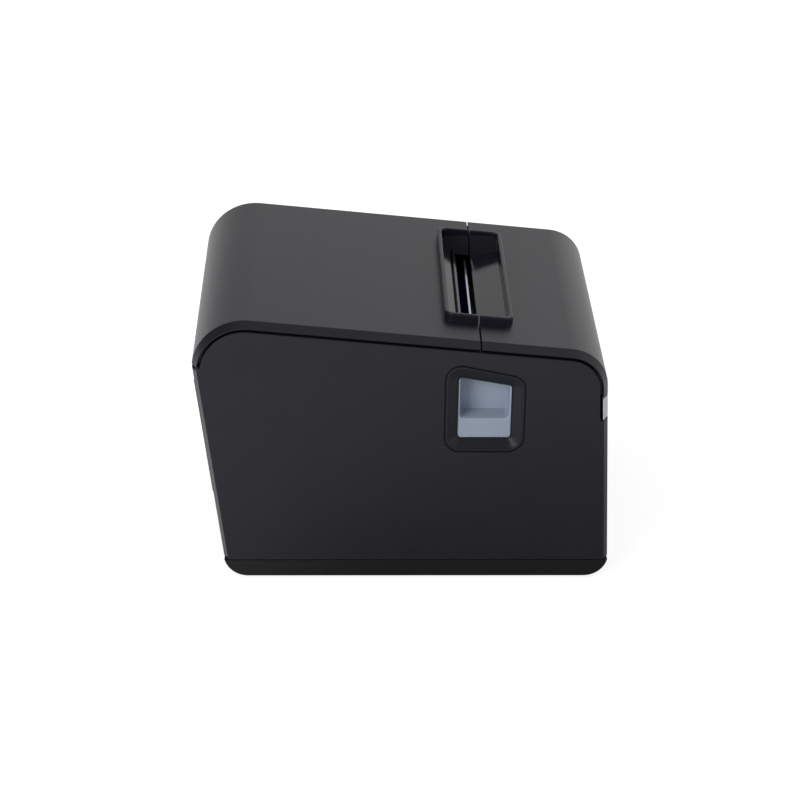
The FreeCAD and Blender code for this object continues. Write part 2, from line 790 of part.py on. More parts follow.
window_outline = slanted_window(d.window_width, d.window_bottom, d.window_top, d.window_slope, d.window_round)
lever_face = left + d.funnel_depth + d.free_clearance
lever_front = d.lever_y - d.window_width / 2 - d.lever_margin
lever_rear = d.lever_y + d.window_width / 2 + d.lever_margin
lever_back = lever_face + d.lever_depth
lever_top = d.recess_top + 1


def funnel_cut():
    """A tapered opening down to the window, in a frame with a groove around it."""
    mouth = funnel_outline(-d.frame_bead)
    outer = flat_sketch("funnel_outer", mouth)
    bind(outer, "Placement.Base.x", left + d.funnel_step - 0.01)
    inner = flat_sketch("funnel_inner", window_outline)
    bind(inner, "Placement.Base.x", left + d.funnel_depth + 0.01)
    slope = doc.addObject("Part::Loft", "funnel_loft")
    slope.Sections = [outer, inner]
    slope.Solid = True
    slope.Ruled = True
    step = padded("funnel_step", "YZ", left - 1, left + d.funnel_step, mouth)
    groove = cut(
        "frame_groove",
        padded("groove_block", "YZ", left - 1, left + d.frame_depth, funnel_outline(d.frame_groove)),
        padded("groove_core", "YZ", left - 2, left + d.frame_depth + 1, funnel_outline(size(0))),
    )
    return fuse("funnel_cut", slope, step, groove)


def lever_rail(name, inner, away):
    """A guide rail beside the lever with a lip behind its edge; away is +1 to the rear, -1 to the front."""
    near = inner + away * 0.2
    outside = near + away * d.rail_width
    lip_end = near - away * 1.6
    low, high = sorted((near, outside), key=lambda s: s.value)
    lip_low, lip_high = sorted((lip_end, outside), key=lambda s: s.value)
    z = (d.shelf_height, lever_top - 1)
    rail = box(f"{name}_rail", (left + 1, lever_back + 1.5), (low, high), z)
    lip = box(f"{name}_lip", (lever_back + 0.2, lever_back + 1.5), (lip_low, lip_high), z)
    return fuse(name, rail, lip)


POST_Y = (-78.0, 58.0)
post_x = half_width - d.wall - 5


def rear_plate(name, inner, outer, room):
    """A plate along the rear wall, from inner to outer measured off the wall, wider by room all round."""
    half = half_width - d.panel_margin + room
    low = d.panel_bottom - room
    high = d.panel_top + room
    return padded(
        name, "YZ", -half, half,
        [
            (rear_y(low) + inner, low), (rear_y(low) + outer, low),
            (rear_y(high) + outer, high), (rear_y(high) + inner, high),
        ],
    )


def make_main_case():
    upper_zone = padded(
        "upper_zone", "YZ", -full, full,
        [
            (-FAR, d.trim_bottom - half_gap), (0, d.trim_bottom - half_gap),
            (0, d.shoulder_height - half_gap), (FAR, d.shoulder_height - half_gap),
            (FAR, FAR), (-FAR, FAR),
        ],
    )
    trough = rod("rear_trough", "X", (hinge_y, hinge_z), -full, full, d.rear_gap)
    lower = cut("case_lower", block, upper_zone, trough)
    sides = offset_block("case_sides", d.wall + d.rim_gap, half_width)
    hollow = offset_block("case_hollow", d.wall, half_width - d.wall)
    inside = half_width - d.wall
    lean = d.wall * 1.02
    floor = padded(
        "case_floor_opening", "YZ", -inside, inside,
        [
            (front_y(base_top) + lean, base_top - 1), (rear_y(base_top) - lean, base_top - 1),
            (rear_y(base_top) - lean, base_top + 5), (front_y(base_top + 5) + lean, base_top + 5),
        ],
    )
    shell = cut("case_shell", fuse("case_outer", lower, sides), hollow, floor)

    boss = padded(
        "funnel_boss", "YZ", left + 1, left + d.funnel_depth,
        slanted_window(
            d.recess_width + 4, d.recess_bottom - 2, d.recess_top + 2, d.recess_slope, d.recess_round + 2,
        ),
    )
    shelf = box(
        "spring_shelf", (left + 1, lever_back), (d.lever_y - 6, d.lever_y + 6),
        (d.shelf_height - 2, d.shelf_height),
    )
    gusset_low = d.shoulder_height - 8
    ears = []
    right_gusset = padded(
        "ear_gusset", "YZ", EAR[0] + 0.3, EAR[1] - 0.3,
        [
            (hinge_y - d.knuckle_radius, hinge_z), (hinge_y + d.knuckle_radius, hinge_z),
            (rear_y(gusset_low), gusset_low), (rear_y(gusset_low) - d.wall, gusset_low),
        ],
    )
    ears += [right_gusset, mirrored("ear_gusset_left", right_gusset)]
    ears.append(hinge_rods("ear_rods", [(EAR[0] + 0.3, EAR[1] - 0.3)], d.knuckle_radius))
    posts = []
    pilots = []
    for i, y in enumerate(POST_Y):
        post = box(f"post_{i}", (post_x - 5, inside + 1), (y - 5, y + 5), (base_top, base_top + 28))
        pilot = rod(f"pilot_{i}", "Z", (post_x, y), base_top - 1, base_top + 20, d.screw_radius)
        posts += [post, mirrored(f"post_{i}_left", post)]
        pilots += [pilot, mirrored(f"pilot_{i}_left", pilot)]

    # Connector bay: a roof and two cheeks that lead from the rear wall in to the connector plate.
    bay_deep = (d.bay_y, rear_y(d.bay_top) - 1)
    bay = [box("bay_roof", (-d.bay_half - 2, d.bay_half + 2), bay_deep, (d.bay_top, d.bay_top + 2))]
    cheek = box(
        "bay_cheek", (d.bay_half, d.bay_half + 2), (d.bay_y, rear_y(base_top) - 1), (base_top, d.bay_top + 2),
    )
    bay += [cheek, mirrored("bay_cheek_left", cheek)]
    bay_cut = box("bay_cut", (-d.bay_half, d.bay_half), (d.bay_y, FAR), (base_top + 1.5, d.bay_top))
    solid_case = fuse(
        "case_solid", shell, boss, shelf, *ears, *posts, *bay,
        lever_rail("lever_rail_front", lever_front, -1), lever_rail("lever_rail_rear", lever_rear, 1),
    )
    keep("main_case", cut(
        "case_done", solid_case, funnel_cut(), bay_cut, *pilots,
        rear_plate("rear_plate_pocket", -d.panel_sunk, d.wall, d.free_clearance),
        hinge_rods("ear_bores", [EAR], d.pin_radius),
        hinge_rods("case_knuckle_room", LID_KNUCKLES, knuckle_room),
    ))


def make_rear_panel():
    keep("rear_panel", rear_plate("rear_plate", d.touch_gap - d.panel_sunk, d.panel_proud, size(0)))


def make_hinge_pins():
    low, high = LID_KNUCKLES[0][0] + 2, LID_KNUCKLES[1][1] - 1
    right = rod("hinge_pin", "X", (hinge_y, hinge_z), low, high, d.pin_radius)
    keep("hinge_pins", group("pins", right, mirrored("hinge_pin_left", right)))


FOOT_Y = (-76.0, 58.0)
FOOT_X = 52.0


def make_base():
    """Base tray with bosses for the board and mechanism, its feet and the case screws."""
    rim_top = base_top - 0.4
    front, rear = front_y(base_top), rear_y(base_top)
    # The round ends are taller than the tray, so a taller block is rounded and then cut off at the rim.
    tall = base_top + 2 * d.base_round
    block = padded(
        "tray_block", "YZ", -half_width, half_width,
        [
            (front, d.foot_height, d.base_round), (rear, d.foot_height, d.base_round),
            (rear, tall), (front, tall),
        ],
    )
    low_part = cut("tray_low_part", block, box("tray_over", (-full, full), (-FAR, FAR), (rim_top, FAR)))
    tray = rounded(
        "tray_rounded", low_part, d.base_edge,
        lambda edge: edge.BoundBox.XLength < 1e-6 and edge.CenterOfMass.z < rim_top.value - 1.5,
    )
    floor_top = d.foot_height + d.wall
    hollow = padded(
        "tray_hollow", "YZ", d.wall - half_width, half_width - d.wall,
        [
            (front + d.wall, floor_top, d.base_round - d.wall),
            (rear - d.wall, floor_top, d.base_round - d.wall),
            (rear - d.wall, tall), (front + d.wall, tall),
        ],
    )
    shell = cut("tray_shell", tray, hollow)
    bosses = []
    for x, y in board_points():
        bosses.append(rod(f"board_boss_{len(bosses)}", "Z", (x, y), floor_top - 1, d.board_height, 3.0))
    for x, y in frame_points():
        bosses.append(box(
            f"frame_boss_{len(bosses)}", (x - 5, x + 5), (y - 4, y + 4), (floor_top - 1, d.frame_foot),
        ))
    screw_x = post_x
    screw_bosses = []
    screw_holes = []
    screws = []
    for y in POST_Y:
        for side in (-1, 1):
            place = (side * screw_x, y)
            count = len(screws)
            screw_bosses.append(rod(f"screw_boss_{count}", "Z", place, d.foot_height, base_top, 4.2))
            shaft_hole = rod(f"screw_way_{count}", "Z", place, 0, FAR, d.screw_radius + 0.2)
            head_hole = rod(f"screw_sink_{count}", "Z", place, 0, d.foot_height + 4, d.screw_head + 0.2)
            screw_holes += [shaft_hole, head_hole]
            head = rod(
                f"screw_head_{count}", "Z", place, d.foot_height + 1.8, d.foot_height + 4, d.screw_head,
            )
            shank = rod(f"screw_shank_{count}", "Z", place, d.foot_height + 4, base_top + 12, d.screw_radius)
            slot = box(
                f"screw_drive_{count}", (place[0] - 1.6, place[0] + 1.6), (y - 0.3, y + 0.3),
                (d.foot_height + 1.8, d.foot_height + 2.6),
            )
            screws.append(cut(f"case_screw_{count}", fuse(f"case_screw_{count}_blank", head, shank), slot))
    feet = []
    recesses = []
    for y in FOOT_Y:
        for side in (-1, 1):
            place = (side * FOOT_X, y)
            top = d.foot_height + d.foot_recess
            feet.append(rod(f"foot_{len(feet)}", "Z", place, 0, top, d.foot_radius))
            recesses.append(rod(f"foot_recess_{len(feet)}", "Z", place, 0, top, d.foot_radius))
    solid_tray = fuse("tray_solid", shell, *bosses, *screw_bosses)
    keep("base_tray", cut("tray_done", solid_tray, *recesses, *screw_holes))
    keep("rubber_feet", group("feet", *feet))
    keep("case_screws", group("case_screw_set", *screws))


# Places across the width, from the paper outwards.
rubber_half = d.paper_width / 2 + 1
arm_low = rubber_half + d.arm_gap
arm_high = arm_low + d.arm_thickness
frame_low = arm_high + d.frame_gap
frame_high = frame_low + d.plate
hook_low = frame_high + 0.4
hook_high = hook_low + d.hook_thickness
gear_low = frame_high + d.gear_gap
gear_high = gear_low + d.gear_width
bushing_end = hook_high + 0.3


def board_points():
    return [(x, y) for x in (-48.0, 48.0) for y in (0.0, 64.0)]


def frame_points():
    x = frame_low + d.plate / 2
    return [(side * x, y) for side in (-1, 1) for y in (-62.0, -20.0)]


def make_bucket():
    """Trough for the paper roll with a deck that reaches the side walls."""
    inner = d.roll_diameter / 2 + d.roll_room
    outer = inner + d.bucket_wall
    inside_half = rubber_half
    outside_half = rubber_half + d.bucket_wall

    def trough(name, half, radius, top):
        drum = rod(f"{name}_drum", "X", (d.bucket_y, d.bucket_z), -half, half, radius)
        stem = box(
            f"{name}_stem", (-half, half), (d.bucket_y - radius, d.bucket_y + radius), (d.bucket_z, top),
        )
        cap = box(f"{name}_cap", (-half, half), (-FAR, FAR), (top, FAR))
        return cut(name, fuse(f"{name}_form", drum, stem), cap)

    outer_trough = trough("bucket_outer", outside_half, outer, d.deck_height)
    inner_trough = trough("bucket_inner", inside_half, inner, d.deck_height + 50)
    deck_half = half_width - d.wall - d.free_clearance
    deck_rear = rear_y(d.deck_height) - d.wall - 2
    deck = box(
        "bucket_deck", (-deck_half, deck_half), (d.bucket_y - outer, deck_rear),
        (d.deck_height - d.deck_thickness, d.deck_height),
    )
    lip = box(
        "bucket_lip", (-full, full), (d.bucket_y - outer - 1, d.bucket_y - inner), (d.bucket_lip, FAR),
    )
    keep("roll_bucket", cut("bucket_done", fuse("bucket_solid", outer_trough, deck), inner_trough, lip))


def make_lid_liner():
    """Inner moulding of the lid: a ribbed pan and the two arms that carry the platen."""
    bar_front = d.fixed_edge + 3.5
    bar_rear = d.platen_y + 6
    pan_rear = hinge_y - 28
    pan_front = d.exit_y + bezel_y + 1.5
    zone = box(
        "liner_zone", (-d.liner_half, d.liner_half), (pan_front, pan_rear), (d.shoulder_height - 20, FAR),
    )
    pan_zone = box(
        "liner_pan_zone", (d.liner_wall - d.liner_half, d.liner_half - d.liner_wall),
        (pan_front + d.liner_wall, pan_rear - d.liner_wall), (d.shoulder_height - 20, FAR),
    )
    outer = common("liner_outer", cut(
        "liner_band", offset_block("liner_over", d.wall + d.touch_gap, d.liner_half + 1),
        offset_block("liner_under", d.liner_depth, d.liner_half + 2),
    ), zone)
    inner = common("liner_inner", cut(
        "liner_pan", offset_block("pan_over", d.wall - 1, d.liner_half + 1),
        offset_block("pan_under", d.liner_depth - d.liner_wall, d.liner_half + 2),
    ), pan_zone)
    blade_seat = d.blade_z + d.blade_thickness + d.blade_gap
    bar = box("liner_bar", (-arm_high, arm_high), (bar_front, bar_rear), (d.platen_z + 10, blade_seat))
    link = box(
        "liner_link", (-arm_high, arm_high), (bar_rear - 2, pan_front + 2), (blade_seat - 4, blade_seat),
    )
    web = box(
        "liner_web", (-arm_high, arm_high), (pan_front, pan_front + 2),
        (blade_seat - 4, roof_z(pan_front) - d.liner_depth + 1),
    )
    arm = padded(
        "liner_arm", "YZ", arm_low, arm_high,
        [
            (d.platen_y - 5.5, d.platen_z - 5.5, 5.0), (d.platen_y + 5.5, d.platen_z - 5.5, 5.0),
            (bar_rear, blade_seat), (bar_front, blade_seat),
        ],
        Round(d.platen_y, d.platen_z, d.bushing_radius),
    )
    pan = cut("liner_shell", outer, inner)
    keep("lid_liner", fuse("liner_done", pan, bar, link, web, arm, mirrored("liner_arm_left", arm)))
    keep("fixed_blade", padded(
        "fixed_plate", "XY", blade_seat, blade_seat + d.blade_thickness,
        [
            (-d.blade_half, d.fixed_edge), (d.blade_half, d.fixed_edge),
            (d.blade_half, d.fixed_edge + d.fixed_length), (-d.blade_half, d.fixed_edge + d.fixed_length),
        ],
    ))


def gear_shape(teeth, module, width, phase, bore):
    """An involute spur gear about the local Z axis, with a tooth at the phase angle in degrees."""
    builder = fcgear.FCWireBuilder()
    involute.CreateExternalGear(builder, module, teeth, PRESSURE_ANGLE, True)
    wire = Part.Wire([edge.toShape() for edge in builder.wire])
    blank = Part.Face(wire).extrude(FreeCAD.Vector(0, 0, width))
    blank.rotate(FreeCAD.Vector(), FreeCAD.Vector(0, 0, 1), phase)
    if bore:
        blank = blank.cut(Part.makeCylinder(bore, width))
    return blank


def meshed_phase(teeth, phase, direction, next_teeth):
    """Phase of a gear that meshes with one at a known phase; direction is the angle from it."""
    pitch, next_pitch = 360.0 / teeth, 360.0 / next_teeth
    place = ((direction - phase) / pitch) % 1.0
    return direction + 180.0 - (0.5 - place) * next_pitch


def centre_distance(first, second, module):
    return (first + second) * module / 2 + d.mesh_clearance.value


def beside(centre, distance, angle):
    """A point in the YZ plane at a distance and an angle from another."""
    turn = math.radians(angle)
    return centre[0] + distance * math.cos(turn), centre[1] + distance * math.sin(turn)


# Feed train: the idler stands straight below the platen gear, along the lid's swing, so the teeth part
# cleanly.
module = d.gear_module.value
platen = (d.platen_y.value, d.platen_z.value)
swing = math.degrees(math.atan2(platen[1] - hinge_z.value, platen[0] - hinge_y.value))
IDLER_ANGLE = swing + 90.0
REDUCTION_ANGLE = 195.0
PINION_ANGLE = 206.0
idler = beside(platen, centre_distance(PLATEN_TEETH, IDLER_TEETH, module), IDLER_ANGLE)
reduction = beside(idler, centre_distance(IDLER_TEETH, REDUCTION_SMALL, module), REDUCTION_ANGLE)
feed_axis = beside(reduction, centre_distance(REDUCTION_LARGE, FEED_PINION_TEETH, module), PINION_ANGLE)
idler_phase = meshed_phase(PLATEN_TEETH, 0.0, IDLER_ANGLE, IDLER_TEETH)
reduction_phase = meshed_phase(IDLER_TEETH, idler_phase, REDUCTION_ANGLE, REDUCTION_SMALL)
feed_phase = meshed_phase(REDUCTION_LARGE, reduction_phase, PINION_ANGLE, FEED_PINION_TEETH)


def make_platen():
    """Rubber roller on its steel shaft, with bushings in the liner's arms and a drive gear."""
    at = (d.platen_y, d.platen_z)
    keep("platen_shaft", rod("platen_rod", "X", at, -bushing_end - 1, gear_high + 1, d.platen_bore))
    rubber = rod("rubber_outer", "X", at, -rubber_half, rubber_half, d.platen_radius)
    core = rod("rubber_core", "X", at, -full, full, d.platen_bore)
    keep("platen_rubber", cut("rubber_sleeve", rubber, core))
    sleeve = rod("bushing_outer", "X", at, arm_low, bushing_end, d.bushing_radius)
    bore = rod("bushing_bore", "X", at, arm_low - 1, bushing_end + 1, d.platen_bore + d.running_clearance)
    right = cut("bushing", sleeve, bore)
    keep("platen_bushings", group("bushings", right, mirrored("bushing_left", right)))
    gear = gear_shape(PLATEN_TEETH, module, d.gear_width.value, 0.0, d.platen_bore.value)
    keep("platen_gear", solid("platen_wheel", gear, gear_low.value, *platen, TURN_TO_YZ))


def make_feed_train():
    """Idler and reduction gears on their studs, and the feed motor with its pinion."""
    width = d.gear_width.value
    # The large reduction wheel turns just outside the idler.
    outer_layer = gear_high + 0.4
    step = (outer_layer - gear_low).value
    bore = (d.stud_radius + d.running_clearance).value
    wheel = gear_shape(IDLER_TEETH, module, width, idler_phase, bore)
    keep("idler_gear", solid("idler_wheel", wheel, gear_low.value, *idler, TURN_TO_YZ))
    small = gear_shape(REDUCTION_SMALL, module, step, reduction_phase, bore)
    large = gear_shape(REDUCTION_LARGE, module, width, reduction_phase, bore)
    large.translate(FreeCAD.Vector(0, 0, step))
    stack = small.fuse(large).removeSplitter()
    keep("reduction_gear", solid("reduction_wheel", stack, gear_low.value, *reduction, TURN_TO_YZ))
    studs = []
    for centre, reach in ((idler, gear_high), (reduction, outer_layer + d.gear_width + 0.8)):
        pin = rod(f"stud_{len(studs)}", "X", centre, frame_high, reach, d.stud_radius)
        collar = rod(
            f"stud_collar_{len(studs)}", "X", centre, frame_high, gear_low - 0.2, d.stud_radius + 0.6,
        )
        studs.append(fuse(f"gear_stud_{len(studs)}", pin, collar))
    keep("gear_studs", group("studs", *studs))
    can = rod("motor_can", "X", feed_axis, frame_low - d.motor_length, frame_low, d.motor_radius)
    boss = rod("motor_boss", "X", feed_axis, frame_low - 1, frame_high + 0.8, 4.5)
    tunnel = rod(
        "motor_tunnel", "X", feed_axis, frame_low - 12, frame_high + 2, d.stud_radius + d.running_clearance,
    )
    keep("feed_motor", cut("motor_done", fuse("motor_body", can, boss), tunnel))
    pinion_start = outer_layer
    pinion = gear_shape(FEED_PINION_TEETH, module, width, feed_phase, 0.0)
    start = frame_low.value - 11 - pinion_start.value
    shaft = Part.makeCylinder(d.stud_radius.value, -start, FreeCAD.Vector(0, 0, start))
    keep("feed_pinion", solid(
        "feed_wheel", pinion.fuse(shaft).removeSplitter(), pinion_start.value, *feed_axis, TURN_TO_YZ,
    ))


# Print head: its face is a plane that leans forward and all but touches the platen.
head_n = (cosine(d.head_tilt), sine(d.head_tilt))
head_t = (-sine(d.head_tilt), cosine(d.head_tilt))
nip_y = d.platen_y - (d.platen_radius + d.head_gap) * head_n[0]
nip_z = d.platen_z - (d.platen_radius + d.head_gap) * head_n[1]


def on_head(along, behind):
    """A point in the YZ plane: along the head's face upwards from the nip, and behind that face."""
    return (nip_y + along * head_t[0] - behind * head_n[0], nip_z + along * head_t[1] - behind * head_n[1])


pivot = on_head(3 - d.head_below, d.head_sheet + d.sink_thickness / 2)


def make_head():
    """Ceramic head strip on a finned heat sink that rocks on a shaft against two springs."""
    strip = padded("head_strip", "YZ", -d.head_half, d.head_half, [
        on_head(d.head_above, 0), on_head(-6, 0),
        on_head(-6, d.head_sheet), on_head(d.head_above, d.head_sheet),
    ])
    cover = padded("head_chip_cover", "YZ", 6 - d.head_half, d.head_half - 6, [
        on_head(-6, -0.8), on_head(-d.head_below, -0.8), on_head(-d.head_below, d.head_sheet),
        on_head(-6, d.head_sheet),
    ])
    keep("thermal_head", fuse("head_done", strip, cover))
    back = d.head_sheet + d.sink_thickness
    sink = padded(
        "sink_block", "YZ", -d.head_half, d.head_half,
        [
            on_head(d.head_above, d.head_sheet), on_head(-d.head_below, d.head_sheet),
            on_head(-d.head_below, back), on_head(d.head_above, back),
        ],
        Round(pivot[0], pivot[1], d.pivot_radius + d.running_clearance),
    )
    # The sink is relieved where the feed motor's can passes its lower edge.
    relief = rod(
        "sink_relief", "X", feed_axis, frame_low - d.motor_length - 2 * d.free_clearance, frame_low,
        d.motor_radius + 2 * d.free_clearance,
    )
    keep("head_heat_sink", cut("sink_done", sink, relief))
    keep("head_pivot_shaft", rod("head_pivot", "X", pivot, -frame_low, frame_low, d.pivot_radius))
    bracket = box(
        "bracket_plate", (-frame_low, frame_low), (d.bracket_y - d.plate, d.bracket_y),
        (d.platen_z - 8, d.platen_z + 5),
    )
    keep("spring_bracket", bracket)
    seat_y, seat_z = on_head(1.0, back)
    springs = []
    for side in (-1, 1):
        x = side * 22.0
        outer = rod(f"head_spring_{side + 1}", "Y", (x, seat_z), d.bracket_y, seat_y - 1.0, 3.0)
        core = rod(f"head_spring_core_{side + 1}", "Y", (x, seat_z), d.bracket_y - 1, seat_y, 2.2)
        springs.append(cut(f"head_spring_tube_{side + 1}", outer, core))
    keep("head_springs", group("head_spring_pair", *springs))


def frame_outline():
    """Side plate of the mechanism, with legs on the base and a raised corner for the cutter."""
    return [
        (d.frame_front, d.frame_foot),
        (d.frame_front + 14, d.frame_foot),
        (d.frame_front + 14, d.floor_height),
        (d.frame_rear - 14, d.floor_height), (d.frame_rear - 14, d.frame_foot), (d.frame_rear, d.frame_foot),
        (d.frame_rear, d.platen_z + 3), (d.fixed_edge, d.platen_z + 3), (d.cutter_y + 7, d.frame_top - 2),
        (d.cutter_y - 9, d.frame_top), (d.frame_front, d.frame_top),
    ]


cutter_z = d.blade_z - 2.7 - d.rack_module * (RACK_PINION_TEETH / 2)
CUTTER_ANGLE = 208.0
cutter_module = d.rack_module.value
cutter_axis = (d.cutter_y.value, cutter_z.value)
cutter_motor_axis = beside(
    cutter_axis, centre_distance(CUTTER_GEAR_TEETH, CUTTER_PINION_TEETH, cutter_module), CUTTER_ANGLE,
)


def make_frame():
    """Two steel side plates with a floor between them, screwed to bosses on the base."""
    lift = beside((0.0, 0.0), 40.0, swing - 90.0)
    slot_half = d.bushing_radius + d.free_clearance
    across = beside((0.0, 0.0), 1.0, swing)
    corners = []
    for reach, side in ((0, -1), (0, 1), (1, 1), (1, -1)):
        corners.append((
            d.platen_y + reach * lift[0] + side * slot_half * across[0],
            d.platen_z + reach * lift[1] + side * slot_half * across[1],
        ))
    holes = [
        Round(d.latch_y, d.latch_z, d.latch_radius + d.running_clearance),
        Round(pivot[0], pivot[1], d.pivot_radius),
        Round(d.cutter_y, cutter_z, d.cutter_radius + d.running_clearance),
    ]
    motor_hole = Round(size(feed_axis[0]), size(feed_axis[1]), 4.5)
    cutter_hole = Round(size(cutter_motor_axis[0]), size(cutter_motor_axis[1]), 3.0)
    for side, extra in ((-1, []), (1, [motor_hole, cutter_hole])):
        name = "frame_right" if side > 0 else "frame_left"
        low, high = (frame_low, frame_high) if side > 0 else (-frame_high, -frame_low)
        plate = padded(f"{name}_plate", "YZ", low, high, frame_outline(), *holes, *extra)
        slot = padded(f"{name}_slot", "YZ", low - 1, high + 1, corners)
        cradle = rod(f"{name}_cradle", "X", (d.platen_y, d.platen_z), low - 1, high + 1, slot_half)
        tabs = []
        for y in (-62.0, -20.0):
            tab_low, tab_high = sorted((side * frame_high, side * (frame_high + 6)), key=lambda s: s.value)
            tabs.append(box(
                f"{name}_tab_{len(tabs)}", (tab_low, tab_high), (y - 4, y + 4),
                (d.frame_foot, d.frame_foot + d.plate),
            ))
        keep(name, fuse(f"{name}_done", cut(f"{name}_cut", plate, slot, cradle), *tabs))
    keep("frame_floor", box(
        "floor_plate", (-frame_low, frame_low), (d.frame_front + 2, d.frame_rear - 2),
        (d.floor_height, d.floor_height + d.plate),
    ))
    screws = []
    for side in (-1, 1):
        for y in (-62.0, -20.0):
            place = (side * (frame_high + 3), y)
            top = d.frame_foot + d.plate
            screws.append(rod(f"frame_screw_{len(screws)}", "Z", place, top, top + 1.6, d.screw_head))
    keep("frame_screws", group("frame_screw_set", *screws))


def make_latch():
    """Latch shaft with two hooks beside the platen's bushings and a crank to the lever."""
    at = (d.latch_y, d.latch_z)
    crank_high = -hook_high - 2
    crank_low = crank_high - 2.5
    keep("latch_shaft", rod("latch_rod", "X", at, crank_low, hook_high + 0.6, d.latch_radius))
    clear = d.bushing_radius + d.free_clearance
    beak_y = d.platen_y - clear - 0.6
    hook = padded(
        "hook_plate", "YZ", hook_low, hook_high,
        [
            (d.latch_y - 4, d.latch_z - 4, 3.0), (d.latch_y + 4, d.latch_z - 4, 3.0),
            (d.latch_y + 3, d.latch_z + 5, 1.0),
            (beak_y - 1.5, d.platen_z - 4),
            (beak_y - 1.5, d.platen_z + 2),
            (beak_y - 0.8, d.platen_z + 5.5), (beak_y - 4, d.platen_z + 9), (beak_y - 6.5, d.platen_z + 6),
            (d.latch_y - 2.2, d.latch_z + 6),
        ],
        Round(d.latch_y, d.latch_z, d.latch_radius),
    )
    keep("latch_hooks", group("hook_pair", hook, mirrored("hook_left", hook)))
    arm = padded(
        "crank_arm", "YZ", crank_low, crank_high,
        [
            (d.latch_y + 4, d.latch_z - 3.5, 3.0), (d.latch_y + 4, d.latch_z + 3.5, 3.0),
            (d.latch_y - d.crank_reach - 3, d.latch_z + 3, 2.5),
            (d.latch_y - d.crank_reach - 3, d.latch_z - 3, 2.5),
        ],
        Round(d.latch_y, d.latch_z, d.latch_radius),
    )
    pin = rod(
        "crank_pin", "X", (d.latch_y - d.crank_reach, d.latch_z),
        lever_back - d.lever_shell, crank_low, d.crank_pin,
    )
    keep("latch_crank", fuse("crank_done", arm, pin))


def make_lever():
    """Release lever: a cup for the finger above a flat face, with a slot for the crank pin."""
    blank = box("lever_blank", (lever_face, lever_back), (lever_front, lever_rear), (d.lever_foot, lever_top))
    side = d.lever_margin + d.lever_rim
    cup_top = lever_top - d.lever_shell
    cup = padded(
        "lever_cup", "YZ", lever_face - 1, lever_back - d.lever_shell,
        [
            (lever_front + side, d.lever_lip, d.cup_round), (lever_rear - side, d.lever_lip, d.cup_round),
            (lever_rear - side, cup_top), (lever_front + side, cup_top),
        ],
    )
    back_hollow = box(
        "lever_hollow", (lever_face + d.lever_shell, lever_back - d.lever_shell),
        (lever_front + d.lever_shell, lever_rear - d.lever_shell),
        (d.lever_foot - 1, d.lever_lip - d.lever_shell),
    )
    pin_y, room = d.latch_y - d.crank_reach, d.crank_pin + d.free_clearance
    slot = box(
        "lever_slot", (lever_back - d.lever_shell - 1, lever_back + 1),
        (pin_y - room - 0.3, pin_y + room + 0.9),
        (d.latch_z - room, d.latch_z + room),
    )
    rib = box(
        "lever_seat", (lever_face + 1, lever_back - 1), (d.lever_y - 5, d.lever_y + 5),
        (d.lever_foot, d.lever_foot + 2),
    )
    lever = fuse("lever_solid", cut("lever_cut", blank, cup, back_hollow, slot), rib)

    def on_mouth(edge):
        bound = edge.BoundBox
        on_face = bound.XLength < 1e-6 and abs(bound.XMin - lever_face.value) < 1e-6
        return on_face and bound.ZMin > d.lever_lip.value - 1e-6

    keep("release_lever", rounded("lever_done", lever, d.lever_edge, on_mouth))
    centre = (lever_face + d.lever_depth / 2, d.lever_y)
    outer = rod("lever_spring_outer", "Z", centre, d.shelf_height, d.lever_foot, 4.0)
    core = rod("lever_spring_core", "Z", centre, d.shelf_height - 1, d.lever_foot + 1, 3.2)
    keep("lever_spring", cut("lever_spring_tube", outer, core))


def rack_shape(length, front, mesh_at, pitch_line, top):
    """A rack in the YZ plane with its teeth downwards and a gap at mesh_at."""
    pitch = math.pi * cutter_module
    slope = math.tan(math.radians(PRESSURE_ANGLE))
    half = pitch / 4 - 0.06
    tip, root = pitch_line - cutter_module, pitch_line + 1.25 * cutter_module
    points = [(front, root)]
    first = math.ceil((front + pitch / 2 - mesh_at) / pitch - 0.5)
    last = math.floor((front + length - pitch / 2 - mesh_at) / pitch - 0.5)
    for number in range(first, last + 1):
        middle = mesh_at + (number + 0.5) * pitch
        wide, narrow = half + 1.25 * cutter_module * slope, half - cutter_module * slope
        points += [
            (middle - wide, root), (middle - narrow, tip), (middle + narrow, tip), (middle + wide, root),
        ]
    points += [(front + length, root), (front + length, top), (front, top), (front, root)]
    face = Part.Face(Part.makePolygon([FreeCAD.Vector(0, y, z) for y, z in points]))
    return face.extrude(FreeCAD.Vector(d.rack_width.value, 0, 0))


